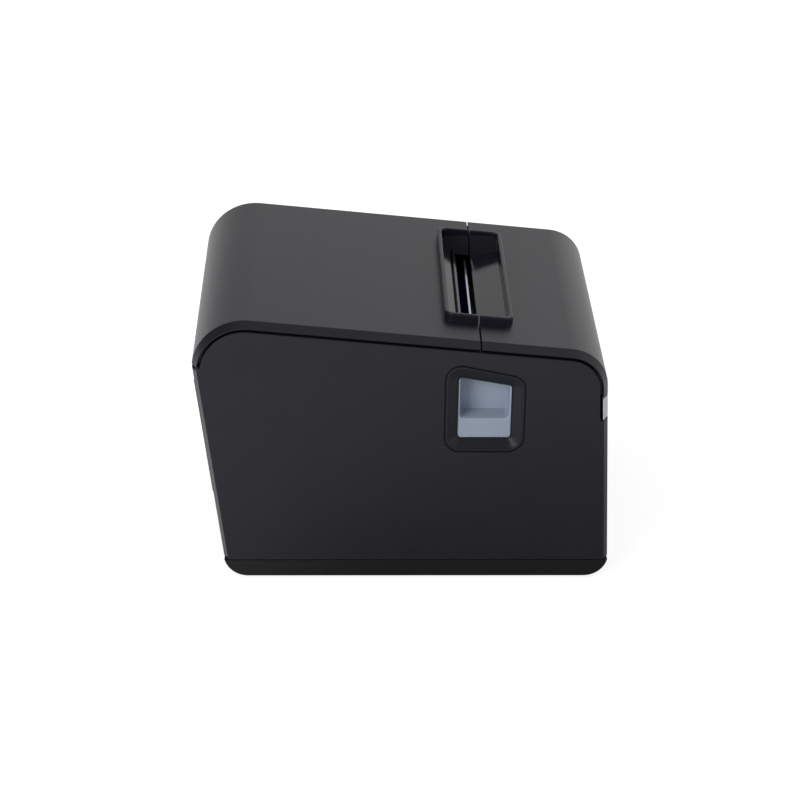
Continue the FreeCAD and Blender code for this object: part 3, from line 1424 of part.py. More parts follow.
def make_cutter():
    """Guillotine cutter: bed, moving blade on two racks, pinion shaft, gear and motor."""
    blade_front = d.blade_edge - d.blade_length
    keep("moving_blade", padded(
        "blade_plate", "XY", d.blade_z, d.blade_z + d.blade_thickness,
        [
            (-d.blade_half, blade_front), (d.blade_half, blade_front), (d.blade_half, d.blade_edge),
            (0, d.blade_edge - d.blade_notch), (-d.blade_half, d.blade_edge),
        ],
    ))
    bed_half = d.rack_x - d.rack_width / 2 - 1.5
    bed_top = d.blade_z - 0.1
    keep("cutter_bed", padded(
        "bed_plate", "XY", d.frame_top, bed_top,
        [
            (-frame_high, d.frame_front), (frame_high, d.frame_front), (frame_high, blade_front - 1),
            (bed_half, blade_front - 1), (bed_half, d.blade_edge - 4), (-bed_half, d.blade_edge - 4),
            (-bed_half, blade_front - 1), (-frame_high, blade_front - 1),
        ],
    ))
    pitch_line = cutter_z.value + RACK_PINION_TEETH * cutter_module / 2 + d.mesh_clearance.value
    rack = rack_shape(21.5, blade_front.value + 0.2, d.cutter_y.value, pitch_line, d.blade_z.value)
    right = solid("rack", rack, (d.rack_x - d.rack_width / 2).value)
    keep("cutter_racks", group("rack_pair", right, mirrored("rack_left", right)))
    at = (d.cutter_y, cutter_z)
    keep("cutter_shaft", rod("cutter_rod", "X", at, -frame_high - 0.5, frame_high + 6, d.cutter_radius))
    pinion = gear_shape(RACK_PINION_TEETH, cutter_module, d.rack_width.value, 90.0, d.cutter_radius.value)
    wheel = solid(
        "rack_pinion", pinion, (d.rack_x - d.rack_width / 2).value, *cutter_axis, TURN_TO_YZ,
    )
    keep("cutter_pinions", group("rack_pinion_pair", wheel, mirrored("rack_pinion_left", wheel)))
    gear_start = frame_high.value + 1
    gear = gear_shape(CUTTER_GEAR_TEETH, cutter_module, 3.5, 90.0, d.cutter_radius.value)
    keep("cutter_gear", solid("cutter_wheel", gear, gear_start, *cutter_axis, TURN_TO_YZ))
    can = rod(
        "cutter_can", "X", cutter_motor_axis,
        frame_low - d.cutter_motor_length, frame_low,
        d.cutter_motor_radius,
    )
    nose = rod("cutter_nose", "X", cutter_motor_axis, frame_low - 1, frame_high + 0.4, 3.0)
    tunnel = rod(
        "cutter_tunnel", "X", cutter_motor_axis, frame_low - 12, frame_high + 2, 1.0 + d.running_clearance,
    )
    keep("cutter_motor", cut("cutter_motor_done", fuse("cutter_motor_body", can, nose), tunnel))
    phase = meshed_phase(CUTTER_GEAR_TEETH, 90.0, CUTTER_ANGLE, CUTTER_PINION_TEETH)
    small = gear_shape(CUTTER_PINION_TEETH, cutter_module, 3.5, phase, 0.0)
    start = frame_low.value - 11 - gear_start
    shaft = Part.makeCylinder(1.0, -start, FreeCAD.Vector(0, 0, start))
    keep("cutter_motor_pinion", solid(
        "cutter_small_wheel", small.fuse(shaft).removeSplitter(), gear_start, *cutter_motor_axis, TURN_TO_YZ,
    ))


SOCKETS = [
    # Node, middle across the width, width, height, length.
    ("power_socket", -17.0, 14.0, 11.0, 14.0),
    ("lan_socket", 2.5, 16.0, 13.5, 21.0),
    ("usb_socket", 21.0, 12.0, 11.0, 16.0),
    ("drawer_socket", 38.5, 13.4, 13.0, 15.0),
]
SOCKET_PROUD = 0.8


def socket_hollow(node, middle, width, height, floor, face):
    """The opening that a plug goes into, without the contacts."""
    if node == "power_socket":
        tube = rod("power_bore", "Y", (middle, floor + height / 2), face - 9, face + 1, 3.2)
        pin = rod("power_pin", "Y", (middle, floor + height / 2), face - 10, face - 1, 1.0)
        return cut("power_hollow", tube, pin)
    if node == "usb_socket":
        mouth = box(
            "usb_mouth", (middle - 4.2, middle + 4.2), (face - 9, face + 1), (floor + 1.6, floor + 9.4),
        )
        tongue = box(
            "usb_tongue", (middle - 2.8, middle + 2.8), (face - 10, face - 1), (floor + 4, floor + 7),
        )
        return cut("usb_hollow", mouth, tongue)
    wide, tall = width - 4, height - 5
    mouth = box(
        f"{node}_mouth", (middle - wide / 2, middle + wide / 2),
        (face - 11, face + 1), (floor + 3, floor + 3 + tall),
    )
    notch = box(f"{node}_notch", (middle - 3, middle + 3), (face - 11, face + 1), (floor + 1.2, floor + 4))
    return fuse(f"{node}_hollow", mouth, notch)


def make_electronics():
    """Main board with its parts, sockets, connector plate and power switch."""
    floor = d.board_height + d.board_thickness
    board_rear = d.bay_y - 2.5
    holes = [Round(x, y, d.screw_radius) for x, y in board_points()]
    keep("main_board", padded(
        "board_plate", "XY", d.board_height, floor,
        [
            (-d.board_half, d.board_front), (d.board_half, d.board_front), (d.board_half, board_rear),
            (-d.board_half, board_rear),
        ],
        *holes,
    ))
    screws = []
    for x, y in board_points():
        screws.append(rod(f"board_screw_{len(screws)}", "Z", (x, y), floor, floor + 1.5, d.screw_head - 0.3))
    keep("board_screws", group("board_screw_set", *screws))
    chips = []
    packages = (
        (-12.0, 22.0, 14.0, 14.0), (14.0, 20.0, 8.0, 11.0), (30.0, 40.0, 6.0, 9.0), (-34.0, 14.0, 10.0, 6.0),
    )
    for x, y, wide, long in packages:
        chips.append(box(
            f"chip_{len(chips)}", (x - wide / 2, x + wide / 2),
            (y - long / 2, y + long / 2), (floor, floor + 1.6),
        ))
    keep("board_chips", group("chip_set", *chips))
    cans = []
    for x, y in ((-44.0, 30.0), (-44.0, 42.0), (46.0, 24.0)):
        cans.append(rod(f"capacitor_{len(cans)}", "Z", (x, y), floor, floor + 8, 4.0))
    keep("board_capacitors", group("capacitor_set", *cans))

    face = d.bay_y + SOCKET_PROUD
    plate = box(
        "connector_sheet", (0.3 - d.bay_half, d.bay_half - 0.3), (d.bay_y - 1.2, d.bay_y),
        (base_top + 1.8, d.bay_top - 0.3),
    )
    openings = []
    for node, middle, width, height, length in SOCKETS:
        shell = box(
            f"{node}_shell", (middle - width / 2, middle + width / 2), (face - length, face),
            (floor, floor + height),
        )
        keep(node, cut(f"{node}_done", shell, socket_hollow(node, middle, width, height, floor, face)))
        openings.append(box(
            f"{node}_window", (middle - width / 2 - 0.1, middle + width / 2 + 0.1), (d.bay_y - 5, FAR),
            (floor - 0.1, floor + height + 0.1),
        ))
    switch_x = -37.5
    switch_z = (base_top + d.bay_top) / 2 + 1
    half_w, half_h = 6.5, 9.5
    openings.append(box(
        "switch_window", (switch_x - half_w, switch_x + half_w), (d.bay_y - 5, FAR),
        (switch_z - half_h, switch_z + half_h),
    ))
    keep("connector_plate", cut("connector_plate_done", plate, *openings))
    flange = box(
        "switch_flange", (switch_x - half_w - 1.2, switch_x + half_w + 1.2), (d.bay_y, d.bay_y + 1.5),
        (switch_z - half_h - 1.2, switch_z + half_h + 1.2),
    )
    trunk = box(
        "switch_trunk", (switch_x - half_w, switch_x + half_w), (d.bay_y - 10, d.bay_y + 0.5),
        (switch_z - half_h, switch_z + half_h),
    )
    well = box(
        "switch_well", (switch_x - half_w + 1.5, switch_x + half_w - 1.5), (d.bay_y - 8.5, d.bay_y + 3),
        (switch_z - half_h + 1.5, switch_z + half_h - 1.5),
    )
    rocker_y = d.bay_y - 2.5
    trunnions = rod("switch_axle_bore", "X", (rocker_y, switch_z), switch_x - 6, switch_x + 6, 1.3)
    keep("power_switch", cut("switch_done", fuse("switch_body", flange, trunk), well, trunnions))
    paddle = padded(
        "rocker_paddle", "YZ", switch_x - half_w + 1.8, switch_x + half_w - 1.8,
        [
            (rocker_y + 5.2, switch_z - 6.4), (rocker_y + 3.1, switch_z), (rocker_y + 2.9, switch_z + 6.6),
            (rocker_y + 0.4, switch_z + 6.4),
            (rocker_y - 1.8, switch_z + 1.8),
            (rocker_y - 1.8, switch_z - 1.8),
            (rocker_y + 1.4, switch_z - 6.6),
        ],
    )
    axle = rod("rocker_axle", "X", (rocker_y, switch_z), switch_x - 5.9, switch_x + 5.9, 1.25)
    keep("power_rocker", fuse("rocker_done", paddle, axle))


def make_sensors():
    """Paper sensor on the bucket's front wall and the switch that feels the closed lid."""
    front = d.bucket_y - d.roll_diameter / 2 - d.roll_room - d.bucket_wall
    body = box("sensor_body", (-7, 7), (front - 3.5, front), (78, 86))
    eyes = [rod(f"sensor_eye_{i}", "Y", (x, 82), front - 4.1, front - 3, 1.6) for i, x in enumerate((-3, 3))]
    keep("paper_sensor", fuse("paper_sensor_done", body, *eyes))
    case = box(
        "lid_switch_case", (-frame_high - 6, -frame_high), (d.frame_rear - 6.2, d.frame_rear), (82, 93),
    )
    button = rod("lid_switch_button", "Z", (-frame_high - 3, d.frame_rear - 3), 93, 94.2, 1.2)
    keep("lid_switch", fuse("lid_switch_done", case, button))


def check_and_write():
    """Stops on any failed object, then writes each sub-part to its own file."""
    doc.recompute()
    for item in doc.Objects:
        if "Invalid" in item.State or "Error" in item.State:
            raise RuntimeError(f"{item.Label} failed: {item.State}")
    os.makedirs("parts", exist_ok=True)
    for node, piece in nodes.items():
        shape = piece.Shape
        if shape.isNull() or not shape.isValid() or not shape.Solids:
            raise RuntimeError(f"{node} has no valid solid")
        shape.exportStep(f"parts/{node}.step")
        print(f"{node}: {len(shape.Solids)} solid(s), {shape.Volume / 1000:.2f} cm3")


make_base()
make_main_case()
make_rear_panel()
make_hinge_pins()
make_lid_cover()
make_front_cover()
make_front_trim()
make_panel()
make_bucket()
make_lid_liner()
make_platen()
make_feed_train()
make_head()
make_frame()
make_latch()
make_lever()
make_cutter()
make_electronics()
make_sensors()
check_and_write()
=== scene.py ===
# %% [markdown]
# # A desktop receipt printer
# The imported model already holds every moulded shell, gear and shaft in its right place. This lesson
# gives those parts the look of the real machine: grained black plastic, a blue-grey release lever,
# steel blades and a light trim band. It also adds the fine pieces that are easier to grow in Blender,
# such as coil springs, guide ribs and socket contacts. Everything is in metres, with the front
# towards -Y and the lever on the -X side.

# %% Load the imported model
import math

import bpy
from mathutils import Matrix, Vector


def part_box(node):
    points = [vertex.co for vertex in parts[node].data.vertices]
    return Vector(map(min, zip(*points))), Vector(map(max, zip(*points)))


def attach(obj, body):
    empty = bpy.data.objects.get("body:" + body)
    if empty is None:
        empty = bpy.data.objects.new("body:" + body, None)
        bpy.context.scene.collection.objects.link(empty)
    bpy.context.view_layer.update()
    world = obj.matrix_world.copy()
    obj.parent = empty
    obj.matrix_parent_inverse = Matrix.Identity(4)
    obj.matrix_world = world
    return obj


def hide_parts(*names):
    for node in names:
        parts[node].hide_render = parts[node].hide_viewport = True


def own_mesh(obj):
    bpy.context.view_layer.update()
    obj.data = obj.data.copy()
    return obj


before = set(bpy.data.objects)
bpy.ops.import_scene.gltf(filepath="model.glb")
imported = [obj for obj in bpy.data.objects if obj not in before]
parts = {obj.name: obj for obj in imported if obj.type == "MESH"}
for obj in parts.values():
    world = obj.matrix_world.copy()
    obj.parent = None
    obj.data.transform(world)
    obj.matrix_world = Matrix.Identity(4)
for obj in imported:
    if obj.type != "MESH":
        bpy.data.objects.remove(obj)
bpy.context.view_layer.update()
MM = 0.001

# %% [markdown]
# ## Camera
# The picture was taken with a long lens from the lever's side, about 28 degrees above the table, and
# the camera was tipped by a little under one degree. The place and tilt were solved from the edges of
# the case, so they are written here as plain numbers.

# %% Camera
CAMERA_PLACE = Vector((-0.9741, 0.02685, 0.5734))
CAMERA_AIM = Vector((0.0, 0.00065, 0.0577))
CAMERA_ROLL = math.radians(0.7922)
LENS_MM, SENSOR_MM = 100.36, 36.0

forward = (CAMERA_AIM - CAMERA_PLACE).normalized()
level_right = forward.cross(Vector((0, 0, 1))).normalized()
level_up = level_right.cross(forward)
right = level_right * math.cos(CAMERA_ROLL) + level_up * math.sin(CAMERA_ROLL)
up = level_up * math.cos(CAMERA_ROLL) - level_right * math.sin(CAMERA_ROLL)
turn = Matrix((right, up, -forward)).transposed()

camera_data = bpy.data.cameras.new("camera")
camera_data.lens = LENS_MM
camera_data.sensor_width = SENSOR_MM
camera_data.clip_start = 0.05
camera_data.clip_end = 50.0
camera = bpy.data.objects.new("camera", camera_data)
camera.matrix_world = Matrix.Translation(CAMERA_PLACE) @ turn.to_4x4()
bpy.context.scene.collection.objects.link(camera)
bpy.context.scene.camera = camera
print("camera is", round((CAMERA_AIM - CAMERA_PLACE).length, 3), "m away")

# %% [markdown]
# ## Small helpers
# Colours are easier to choose as the hex values that a paint program shows, but shaders work in linear
# light, so one function turns one into the other. A second function adds a node and fills its sockets,
# with plain values or with links, so that each material below reads like a recipe.

# %% Helpers for colours and nodes
def linear(hex_colour):
    """An sRGB hex colour as the linear RGBA that a shader takes."""
    channels = [int(hex_colour[i:i + 2], 16) / 255 for i in (1, 3, 5)]
    return [c / 12.92 if c <= 0.04045 else ((c + 0.055) / 1.055) ** 2.4 for c in channels] + [1.0]


def add(tree, kind, sockets=None, **settings):
    """Adds a node, sets its own options, and fills its sockets with values or links."""
    node = tree.nodes.new(kind)
    for option, value in settings.items():
        setattr(node, option, value)
    for name, value in (sockets or {}).items():
        if isinstance(value, bpy.types.NodeSocket):
            tree.links.new(value, node.inputs[name])
        else:
            node.inputs[name].default_value = value
    return node


def scaled(colour, factor):
    """A linear colour made lighter or darker, still opaque."""
    return [channel * factor for channel in colour[:3]] + [1]


def per_metre(size_mm):
    """The scale that makes one cell of a texture as large as the given millimetres."""
    return 1.0 / (size_mm * MM)


def new_material(name):
    """An empty material, its node tree and the surface socket to link a shader to."""
    material = bpy.data.materials.new(name)
    material.use_nodes = True
    tree = material.node_tree
    tree.nodes.clear()
    output = add(tree, "ShaderNodeOutputMaterial")
    return material, tree, output.inputs["Surface"]


print("white in linear light:", linear("#ffffff"))

# %% [markdown]
# ## Moulded ABS
# The case is injection-moulded ABS. Its mould was spark-eroded, which leaves a fine grain, so the black
# surface looks soft rather than glossy: it turns grey where it leans away from the eye and mirrors the
# bright room. The grain is noise of about half a millimetre, drawn a little coarser than the real one so
# that it shows. A wider noise varies the colour slightly, as moulded parts do. The values of a noise
# texture crowd around one half, so only the middle of its range is used. A mould has no razor-sharp
# corners, so the Bevel node rounds the light on every edge by a fraction of a millimetre. The
# pocket that the paper comes out of is polished, so that paper slides over it: there the surface is
# smooth enough to mirror the pocket's own walls. The shader finds that place from the part's own
# coordinates, as everything inside the rim around the paper exit.

# %% Moulded plastics
POCKET_Y, POCKET_HALF_LENGTH, POCKET_HALF_WIDTH = -34.0 * MM, 48.4 * MM, 14.2 * MM
POLISHED = 0.14
NOISE_LOW, NOISE_HIGH = 0.3, 0.7
MOTTLE_MM = 18
SHEEN_SPREAD = 0.05
GRAIN_DEPTH = 0.5  # in widths of the grain


def in_the_pocket(tree, place):
    """One inside the rim of the paper exit, and zero elsewhere."""
    at = add(tree, "ShaderNodeSeparateXYZ", {"Vector": place}).outputs
    across = add(tree, "ShaderNodeMath", {0: at["X"], 1: 0.0, 2: POCKET_HALF_LENGTH}, operation="COMPARE")
    along = add(tree, "ShaderNodeMath", {0: at["Y"], 1: POCKET_Y, 2: POCKET_HALF_WIDTH}, operation="COMPARE")
    return add(tree, "ShaderNodeMath", {
        0: across.outputs["Value"], 1: along.outputs["Value"],
    }, operation="MULTIPLY").outputs["Value"]


def moulded_plastic(
    name, colour, roughness, specular,
    grain_mm=0.45, grain=0.10, edge_mm=0.35, mottle=0.06, pocket=False,
):
    """Injection-moulded plastic with a grained surface and softened edges."""
    material, tree, surface = new_material(name)
    place = add(tree, "ShaderNodeTexCoord").outputs["Object"]
    wide = add(tree, "ShaderNodeTexNoise", {"Vector": place, "Scale": per_metre(MOTTLE_MM), "Detail": 3.0})
    fine = add(tree, "ShaderNodeTexNoise", {"Vector": place, "Scale": per_metre(grain_mm), "Detail": 2.0})
    base = linear(colour)
    tone = add(tree, "ShaderNodeValToRGB", {"Fac": wide.outputs["Fac"]})
    dark, light = tone.color_ramp.elements
    dark.position, dark.color = NOISE_LOW, scaled(base, 1 - mottle)
    light.position, light.color = NOISE_HIGH, scaled(base, 1 + mottle)
    sheen = add(tree, "ShaderNodeMapRange", {
        "Value": fine.outputs["Fac"], "From Min": NOISE_LOW, "From Max": NOISE_HIGH,
        "To Min": roughness - SHEEN_SPREAD, "To Max": roughness + SHEEN_SPREAD,
    }).outputs["Result"]
    edges = add(tree, "ShaderNodeBevel", {"Radius": edge_mm * MM}, samples=4)
    bump = add(tree, "ShaderNodeBump", {
        "Strength": grain, "Distance": grain_mm * MM * GRAIN_DEPTH,
        "Height": fine.outputs["Fac"], "Normal": edges.outputs["Normal"],
    })
    if pocket:
        smooth = in_the_pocket(tree, place)
        sheen = add(tree, "ShaderNodeMix", {"Factor": smooth, "A": sheen, "B": POLISHED}).outputs["Result"]
        grain_left = add(tree, "ShaderNodeMapRange", {"Value": smooth, "To Min": grain, "To Max": 0.0})
        tree.links.new(grain_left.outputs["Result"], bump.inputs["Strength"])
    shader = add(tree, "ShaderNodeBsdfPrincipled", {
        "Base Color": tone.outputs["Color"], "Roughness": sheen,
        "Normal": bump.outputs["Normal"], "IOR": 1.53, "Specular IOR Level": specular,
    })
    tree.links.new(shader.outputs["BSDF"], surface)
    return material


black_abs = moulded_plastic("black_spark_eroded_abs", "#16161e", 0.42, 0.26, edge_mm=0.9)
cover_abs = moulded_plastic("black_cover_abs", "#17171f", 0.38, 0.24, pocket=True)
base_abs = moulded_plastic("black_base_abs", "#0f0f12", 0.46, 0.22)
inner_abs = moulded_plastic("black_inner_abs", "#242427", 0.50, 0.26, grain_mm=0.6, grain=0.08)
trim_abs = moulded_plastic("light_trim_abs", "#dfe0e3", 0.40, 0.4, grain=0.04, mottle=0.02)
lever_abs = moulded_plastic(
    "blue_grey_lever_abs", "#a0abbb", 0.36, 0.4, grain=0.03, edge_mm=0.8, mottle=0.02,
)
nylon = moulded_plastic("natural_nylon", "#d9d5c8", 0.42, 0.45, grain=0.03, edge_mm=0.15, mottle=0.03)
acetal = moulded_plastic("white_acetal", "#e3e2dc", 0.35, 0.45, grain=0.02, edge_mm=0.15, mottle=0.02)
epoxy = moulded_plastic("black_chip_epoxy", "#1f1f21", 0.6, 0.3, grain_mm=0.3, edge_mm=0.1)
print("plastics:", [m.name for m in bpy.data.materials if "abs" in m.name])

# %% [markdown]
# ## Rubber
# The platen and the feet are soft black rubber. The platen is ground round on a lathe, which leaves a
# dull, even surface with fine grooves across its length; the feet are moulded. Both scatter light
# widely, so the roughness is high and the grain is soft.

# %% Rubber
DUST_MM = 9
DUSTY = 1.5  # times as bright
RUBBER_DEPTH = 0.4  # in widths of the grain


def ground_rubber(name, colour, grain_mm):
    """Dull rubber with a soft grain."""
    material, tree, surface = new_material(name)
    place = add(tree, "ShaderNodeTexCoord").outputs["Object"]
    grain = add(tree, "ShaderNodeTexNoise", {"Vector": place, "Scale": per_metre(grain_mm), "Detail": 4.0})
    dust = add(tree, "ShaderNodeTexNoise", {"Vector": place, "Scale": per_metre(DUST_MM), "Detail": 2.0})
    tone = add(tree, "ShaderNodeMix", {
        "Factor": dust.outputs["Fac"], "A": linear(colour), "B": scaled(linear(colour), DUSTY),
    }, data_type="RGBA")
    bump = add(tree, "ShaderNodeBump", {
        "Strength": 0.2, "Distance": grain_mm * MM * RUBBER_DEPTH, "Height": grain.outputs["Fac"],
    })
    shader = add(tree, "ShaderNodeBsdfPrincipled", {
        "Base Color": tone.outputs["Result"], "Roughness": 0.78, "Normal": bump.outputs["Normal"],
        "Specular IOR Level": 0.3,
    })
    tree.links.new(shader.outputs["BSDF"], surface)
    return material


rubber = ground_rubber("ground_black_rubber", "#202021", 0.5)
print("made", rubber.name)

# %% [markdown]
# ## Metals
# The side plates and shafts are bright rolled steel, and the heat sink is plain extruded aluminium.
# Rolling, grinding and extruding all leave fine lines that run one way. Noise that is stretched along
# the line gives that: the Mapping node squeezes it across the line and the roughness and bump follow it.
# The lines are drawn a few tenths of a millimetre wide so that they show. The paper is torn off against
# the fixed blade, which is hardened steel. Its colour is painted nearly black and its edge tint dimmed:
# painted shade for the dark pocket that it mirrors. A narrow pale strip along its edge is a painted
# highlight. Its place along Y tells the shader where that strip is.

# %% Metals
LINE_LENGTH, LINE_DEPTH = 60, 0.3  # in widths of a line
HAZE_MM = 12
HAZY = 0.88  # times as bright
GLOSS_SPREAD = 0.08
METAL_EDGE = 0.12 * MM
# The pale colour of the painted highlight along the fixed blade's tearing edge, and where along Y it lies.
PAINTED_HIGHLIGHT_STEEL = linear("#b9bdc2")
TEAR_EDGE_MM = (-31.3, -30.9)


def lined_metal(
    name, colour, roughness, along,
    line_mm=0.35, depth=0.06, highlight_y_mm=None, rim=(1.0, 1.0, 1.0, 1.0),
):
    """Metal with fine lines along X, Y or Z, and a pale strip of painted highlight where Y (mm) lies between
    the given low and high.
    """
    material, tree, surface = new_material(name)
    place = add(tree, "ShaderNodeTexCoord").outputs["Object"]
    stretch = [per_metre(line_mm)] * 3
    stretch["XYZ".index(along)] = per_metre(line_mm * LINE_LENGTH)
    squeezed = add(tree, "ShaderNodeMapping", {"Vector": place, "Scale": stretch})
    lines = add(tree, "ShaderNodeTexNoise", {
        "Vector": squeezed.outputs["Vector"], "Scale": 1.0, "Detail": 3.0,
    })
    haze = add(tree, "ShaderNodeTexNoise", {"Vector": place, "Scale": per_metre(HAZE_MM), "Detail": 2.0})
    base = linear(colour)
    tone = add(tree, "ShaderNodeMix", {
        "Factor": haze.outputs["Fac"], "A": scaled(base, HAZY), "B": base,
    }, data_type="RGBA")
    # The pale strip is a painted highlight along the blade's edge.
    if highlight_y_mm:
        along_y = add(tree, "ShaderNodeSeparateXYZ", {"Vector": place}).outputs["Y"]
        strip = add(tree, "ShaderNodeMapRange", {
            "Value": along_y, "From Min": highlight_y_mm[0] * MM, "From Max": highlight_y_mm[1] * MM,
            "To Min": 1.0, "To Max": 0.0,
        })
        tone = add(tree, "ShaderNodeMix", {
            "Factor": strip.outputs["Result"], "A": tone.outputs["Result"], "B": PAINTED_HIGHLIGHT_STEEL,
        }, data_type="RGBA")
    gloss = add(tree, "ShaderNodeMapRange", {
        "Value": lines.outputs["Fac"], "From Min": NOISE_LOW, "From Max": NOISE_HIGH,
        "To Min": roughness - GLOSS_SPREAD, "To Max": roughness + GLOSS_SPREAD,
    })
    edges = add(tree, "ShaderNodeBevel", {"Radius": METAL_EDGE}, samples=4)
    bump = add(tree, "ShaderNodeBump", {
        "Strength": depth, "Distance": line_mm * MM * LINE_DEPTH,
        "Height": lines.outputs["Fac"], "Normal": edges.outputs["Normal"],
    })
    shader = add(tree, "ShaderNodeBsdfPrincipled", {
        "Base Color": tone.outputs["Result"], "Metallic": 1.0, "Roughness": gloss.outputs["Result"],
        "Normal": bump.outputs["Normal"], "Specular Tint": rim,
    })
    tree.links.new(shader.outputs["BSDF"], surface)
    return material


sheet_steel = lined_metal("rolled_sheet_steel", "#b7babd", 0.36, "Z")
shaft_steel = lined_metal("turned_steel", "#c3c6c9", 0.28, "X", line_mm=0.25)
blade_steel = lined_metal("ground_blade_steel", "#a9b4c0", 0.24, "X", line_mm=0.25)
# The fixed blade's near-black colour and dimmed edge tint are painted shade, and its pale edge strip is a
# painted highlight.
painted_shade_steel = lined_metal(
    "painted_shade_blade_steel", "#121417", 0.20, "X",
    line_mm=0.25, highlight_y_mm=TEAR_EDGE_MM, rim=(0.44, 0.45, 0.47, 1.0),
)
zinc_can = lined_metal("zinc_plated_steel", "#a6a8a6", 0.42, "X", line_mm=0.5)
sink_alloy = lined_metal("extruded_aluminium", "#c9cbcd", 0.40, "X", line_mm=0.5)
spring_wire = lined_metal("drawn_spring_wire", "#9da1a5", 0.30, "Z", line_mm=0.2)
contact_gold = lined_metal("gold_flashed_contacts", "#d8b25a", 0.25, "Y", line_mm=0.2)
print("metals:", [m.name for m in bpy.data.materials if m.name.endswith(("steel", "aluminium"))])

# %% [markdown]
# ## Board, print head and light pipes
# A circuit board is glass-fibre laminate under green solder mask; copper tracks under the mask show as
# slightly paler lines, most of which run side by side. The print head is a strip of glazed ceramic, brown
# and glossy. The indicators are clear acrylic light pipes with a frosted end.

# %% Board, glaze and acrylic
TRACK_CELL_MM = 14
TRACK_DEPTH = 0.05 * MM
FROSTED = 0.9  # times as bright
FROST_DEPTH = 0.2  # in widths of the grain
BLACK, WHITE = (0, 0, 0, 1), (1, 1, 1, 1)


def masked_board(name, colour, track):
    """Green solder mask with paler copper tracks showing through it."""
    material, tree, surface = new_material(name)
    place = add(tree, "ShaderNodeTexCoord").outputs["Object"]
    cells = add(tree, "ShaderNodeTexBrick", {
        "Vector": place, "Scale": per_metre(TRACK_CELL_MM), "Color1": BLACK, "Color2": BLACK,
        "Mortar": WHITE, "Mortar Size": 0.012, "Brick Width": 1.7, "Row Height": 0.085,
    })
    tone = add(tree, "ShaderNodeMix", {
        "Factor": cells.outputs["Color"], "A": linear(colour), "B": linear(track),
    }, data_type="RGBA")
    bump = add(tree, "ShaderNodeBump", {
        "Strength": 0.2, "Distance": TRACK_DEPTH, "Height": cells.outputs["Color"],
    })
    shader = add(tree, "ShaderNodeBsdfPrincipled", {
        "Base Color": tone.outputs["Result"], "Roughness": 0.35,
        "Normal": bump.outputs["Normal"], "IOR": 1.55,
    })
    tree.links.new(shader.outputs["BSDF"], surface)
    return material


def clear_piece(name, colour, roughness, grain_mm):
    """A glazed or frosted piece: smooth colour under a clear, slightly uneven surface."""
    material, tree, surface = new_material(name)
    place = add(tree, "ShaderNodeTexCoord").outputs["Object"]
    frost = add(tree, "ShaderNodeTexNoise", {"Vector": place, "Scale": per_metre(grain_mm), "Detail": 3.0})
    tone = add(tree, "ShaderNodeMix", {
        "Factor": frost.outputs["Fac"], "A": linear(colour), "B": scaled(linear(colour), FROSTED),
    }, data_type="RGBA")
    bump = add(tree, "ShaderNodeBump", {
        "Strength": 0.08, "Distance": grain_mm * MM * FROST_DEPTH, "Height": frost.outputs["Fac"],
    })
    shader = add(tree, "ShaderNodeBsdfPrincipled", {
        "Base Color": tone.outputs["Result"], "Roughness": roughness,
        "Normal": bump.outputs["Normal"], "IOR": 1.5,
    })
    tree.links.new(shader.outputs["BSDF"], surface)
    return material


board_green = masked_board("green_solder_mask", "#1d5a36", "#2a7046")
head_glaze = clear_piece("glazed_brown_ceramic", "#6d5646", 0.12, 0.8)
light_pipe = clear_piece("frosted_acrylic", "#cfd6d2", 0.3, 0.4)
print("made", board_green.name, head_glaze.name, light_pipe.name)

# %% [markdown]
# ## Which part is made of what
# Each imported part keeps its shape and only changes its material. Listing them by finish makes it easy to
# see that nothing was forgotten, and the loop below prints any part without one.

# %% Give every part its finish
FINISHES = {
    black_abs: ["main_case", "rear_panel"],
    cover_abs: ["lid_cover", "front_cover"],
    base_abs: ["base_tray"],
    inner_abs: [
        "lid_liner", "roll_bucket", "power_switch", "power_rocker", "paper_sensor", "lid_switch",
        "power_socket", "drawer_socket", "usb_socket", "panel_switch", "feed_button",
    ],
    trim_abs: ["front_trim"],
    lever_abs: ["release_lever"],
    rubber: ["rubber_feet", "platen_rubber"],
    nylon: ["platen_gear", "idler_gear", "reduction_gear", "cutter_gear"],
    acetal: ["platen_bushings"],
    epoxy: ["board_chips"],
    sheet_steel: [
        "frame_left", "frame_right", "frame_floor", "spring_bracket", "cutter_bed", "latch_hooks",
        "latch_crank", "connector_plate", "lan_socket",
    ],
    shaft_steel: [
        "platen_shaft", "head_pivot_shaft", "latch_shaft", "cutter_shaft", "gear_studs", "hinge_pins",
        "case_screws", "board_screws", "frame_screws", "feed_pinion", "cutter_pinions", "cutter_motor_pinion",
        "cutter_racks",
    ],
    blade_steel: ["moving_blade"],
    painted_shade_steel: ["fixed_blade"],
    zinc_can: ["feed_motor", "cutter_motor"],
    sink_alloy: ["head_heat_sink", "board_capacitors"],
    spring_wire: ["head_springs", "lever_spring"],  # plain tubes, hidden by the coils below
    board_green: ["main_board", "panel_board"],
    head_glaze: ["thermal_head"],
    light_pipe: ["indicator_lenses"],
}
for material, names in FINISHES.items():
    for name in names:
        parts[name].data.materials.clear()
        parts[name].data.materials.append(material)
finished = {name for names in FINISHES.values() for name in names}
print("parts without a finish:", sorted(set(parts) - finished))

# %% [markdown]
# ## Growing pieces with Geometry Nodes
# Some pieces are one small shape that repeats or follows a path. Geometry Nodes make these from a few
# numbers. Two helpers keep the trees short: one makes a tree with named inputs, and the other runs a
# tree, keeps the plain mesh that comes out and lets it ride on one of the printer's bodies.

# %% Helpers for Geometry Nodes
def new_growth(name, inputs):
    """An empty Geometry Nodes tree with named inputs, and the sockets of its input node."""
    tree = bpy.data.node_groups.new(name, "GeometryNodeTree")
    for label, kind in inputs.items():
        tree.interface.new_socket(label, in_out="INPUT", socket_type="NodeSocket" + kind)
    tree.interface.new_socket("Geometry", in_out="OUTPUT", socket_type="NodeSocketGeometry")
    return tree, add(tree, "NodeGroupInput").outputs


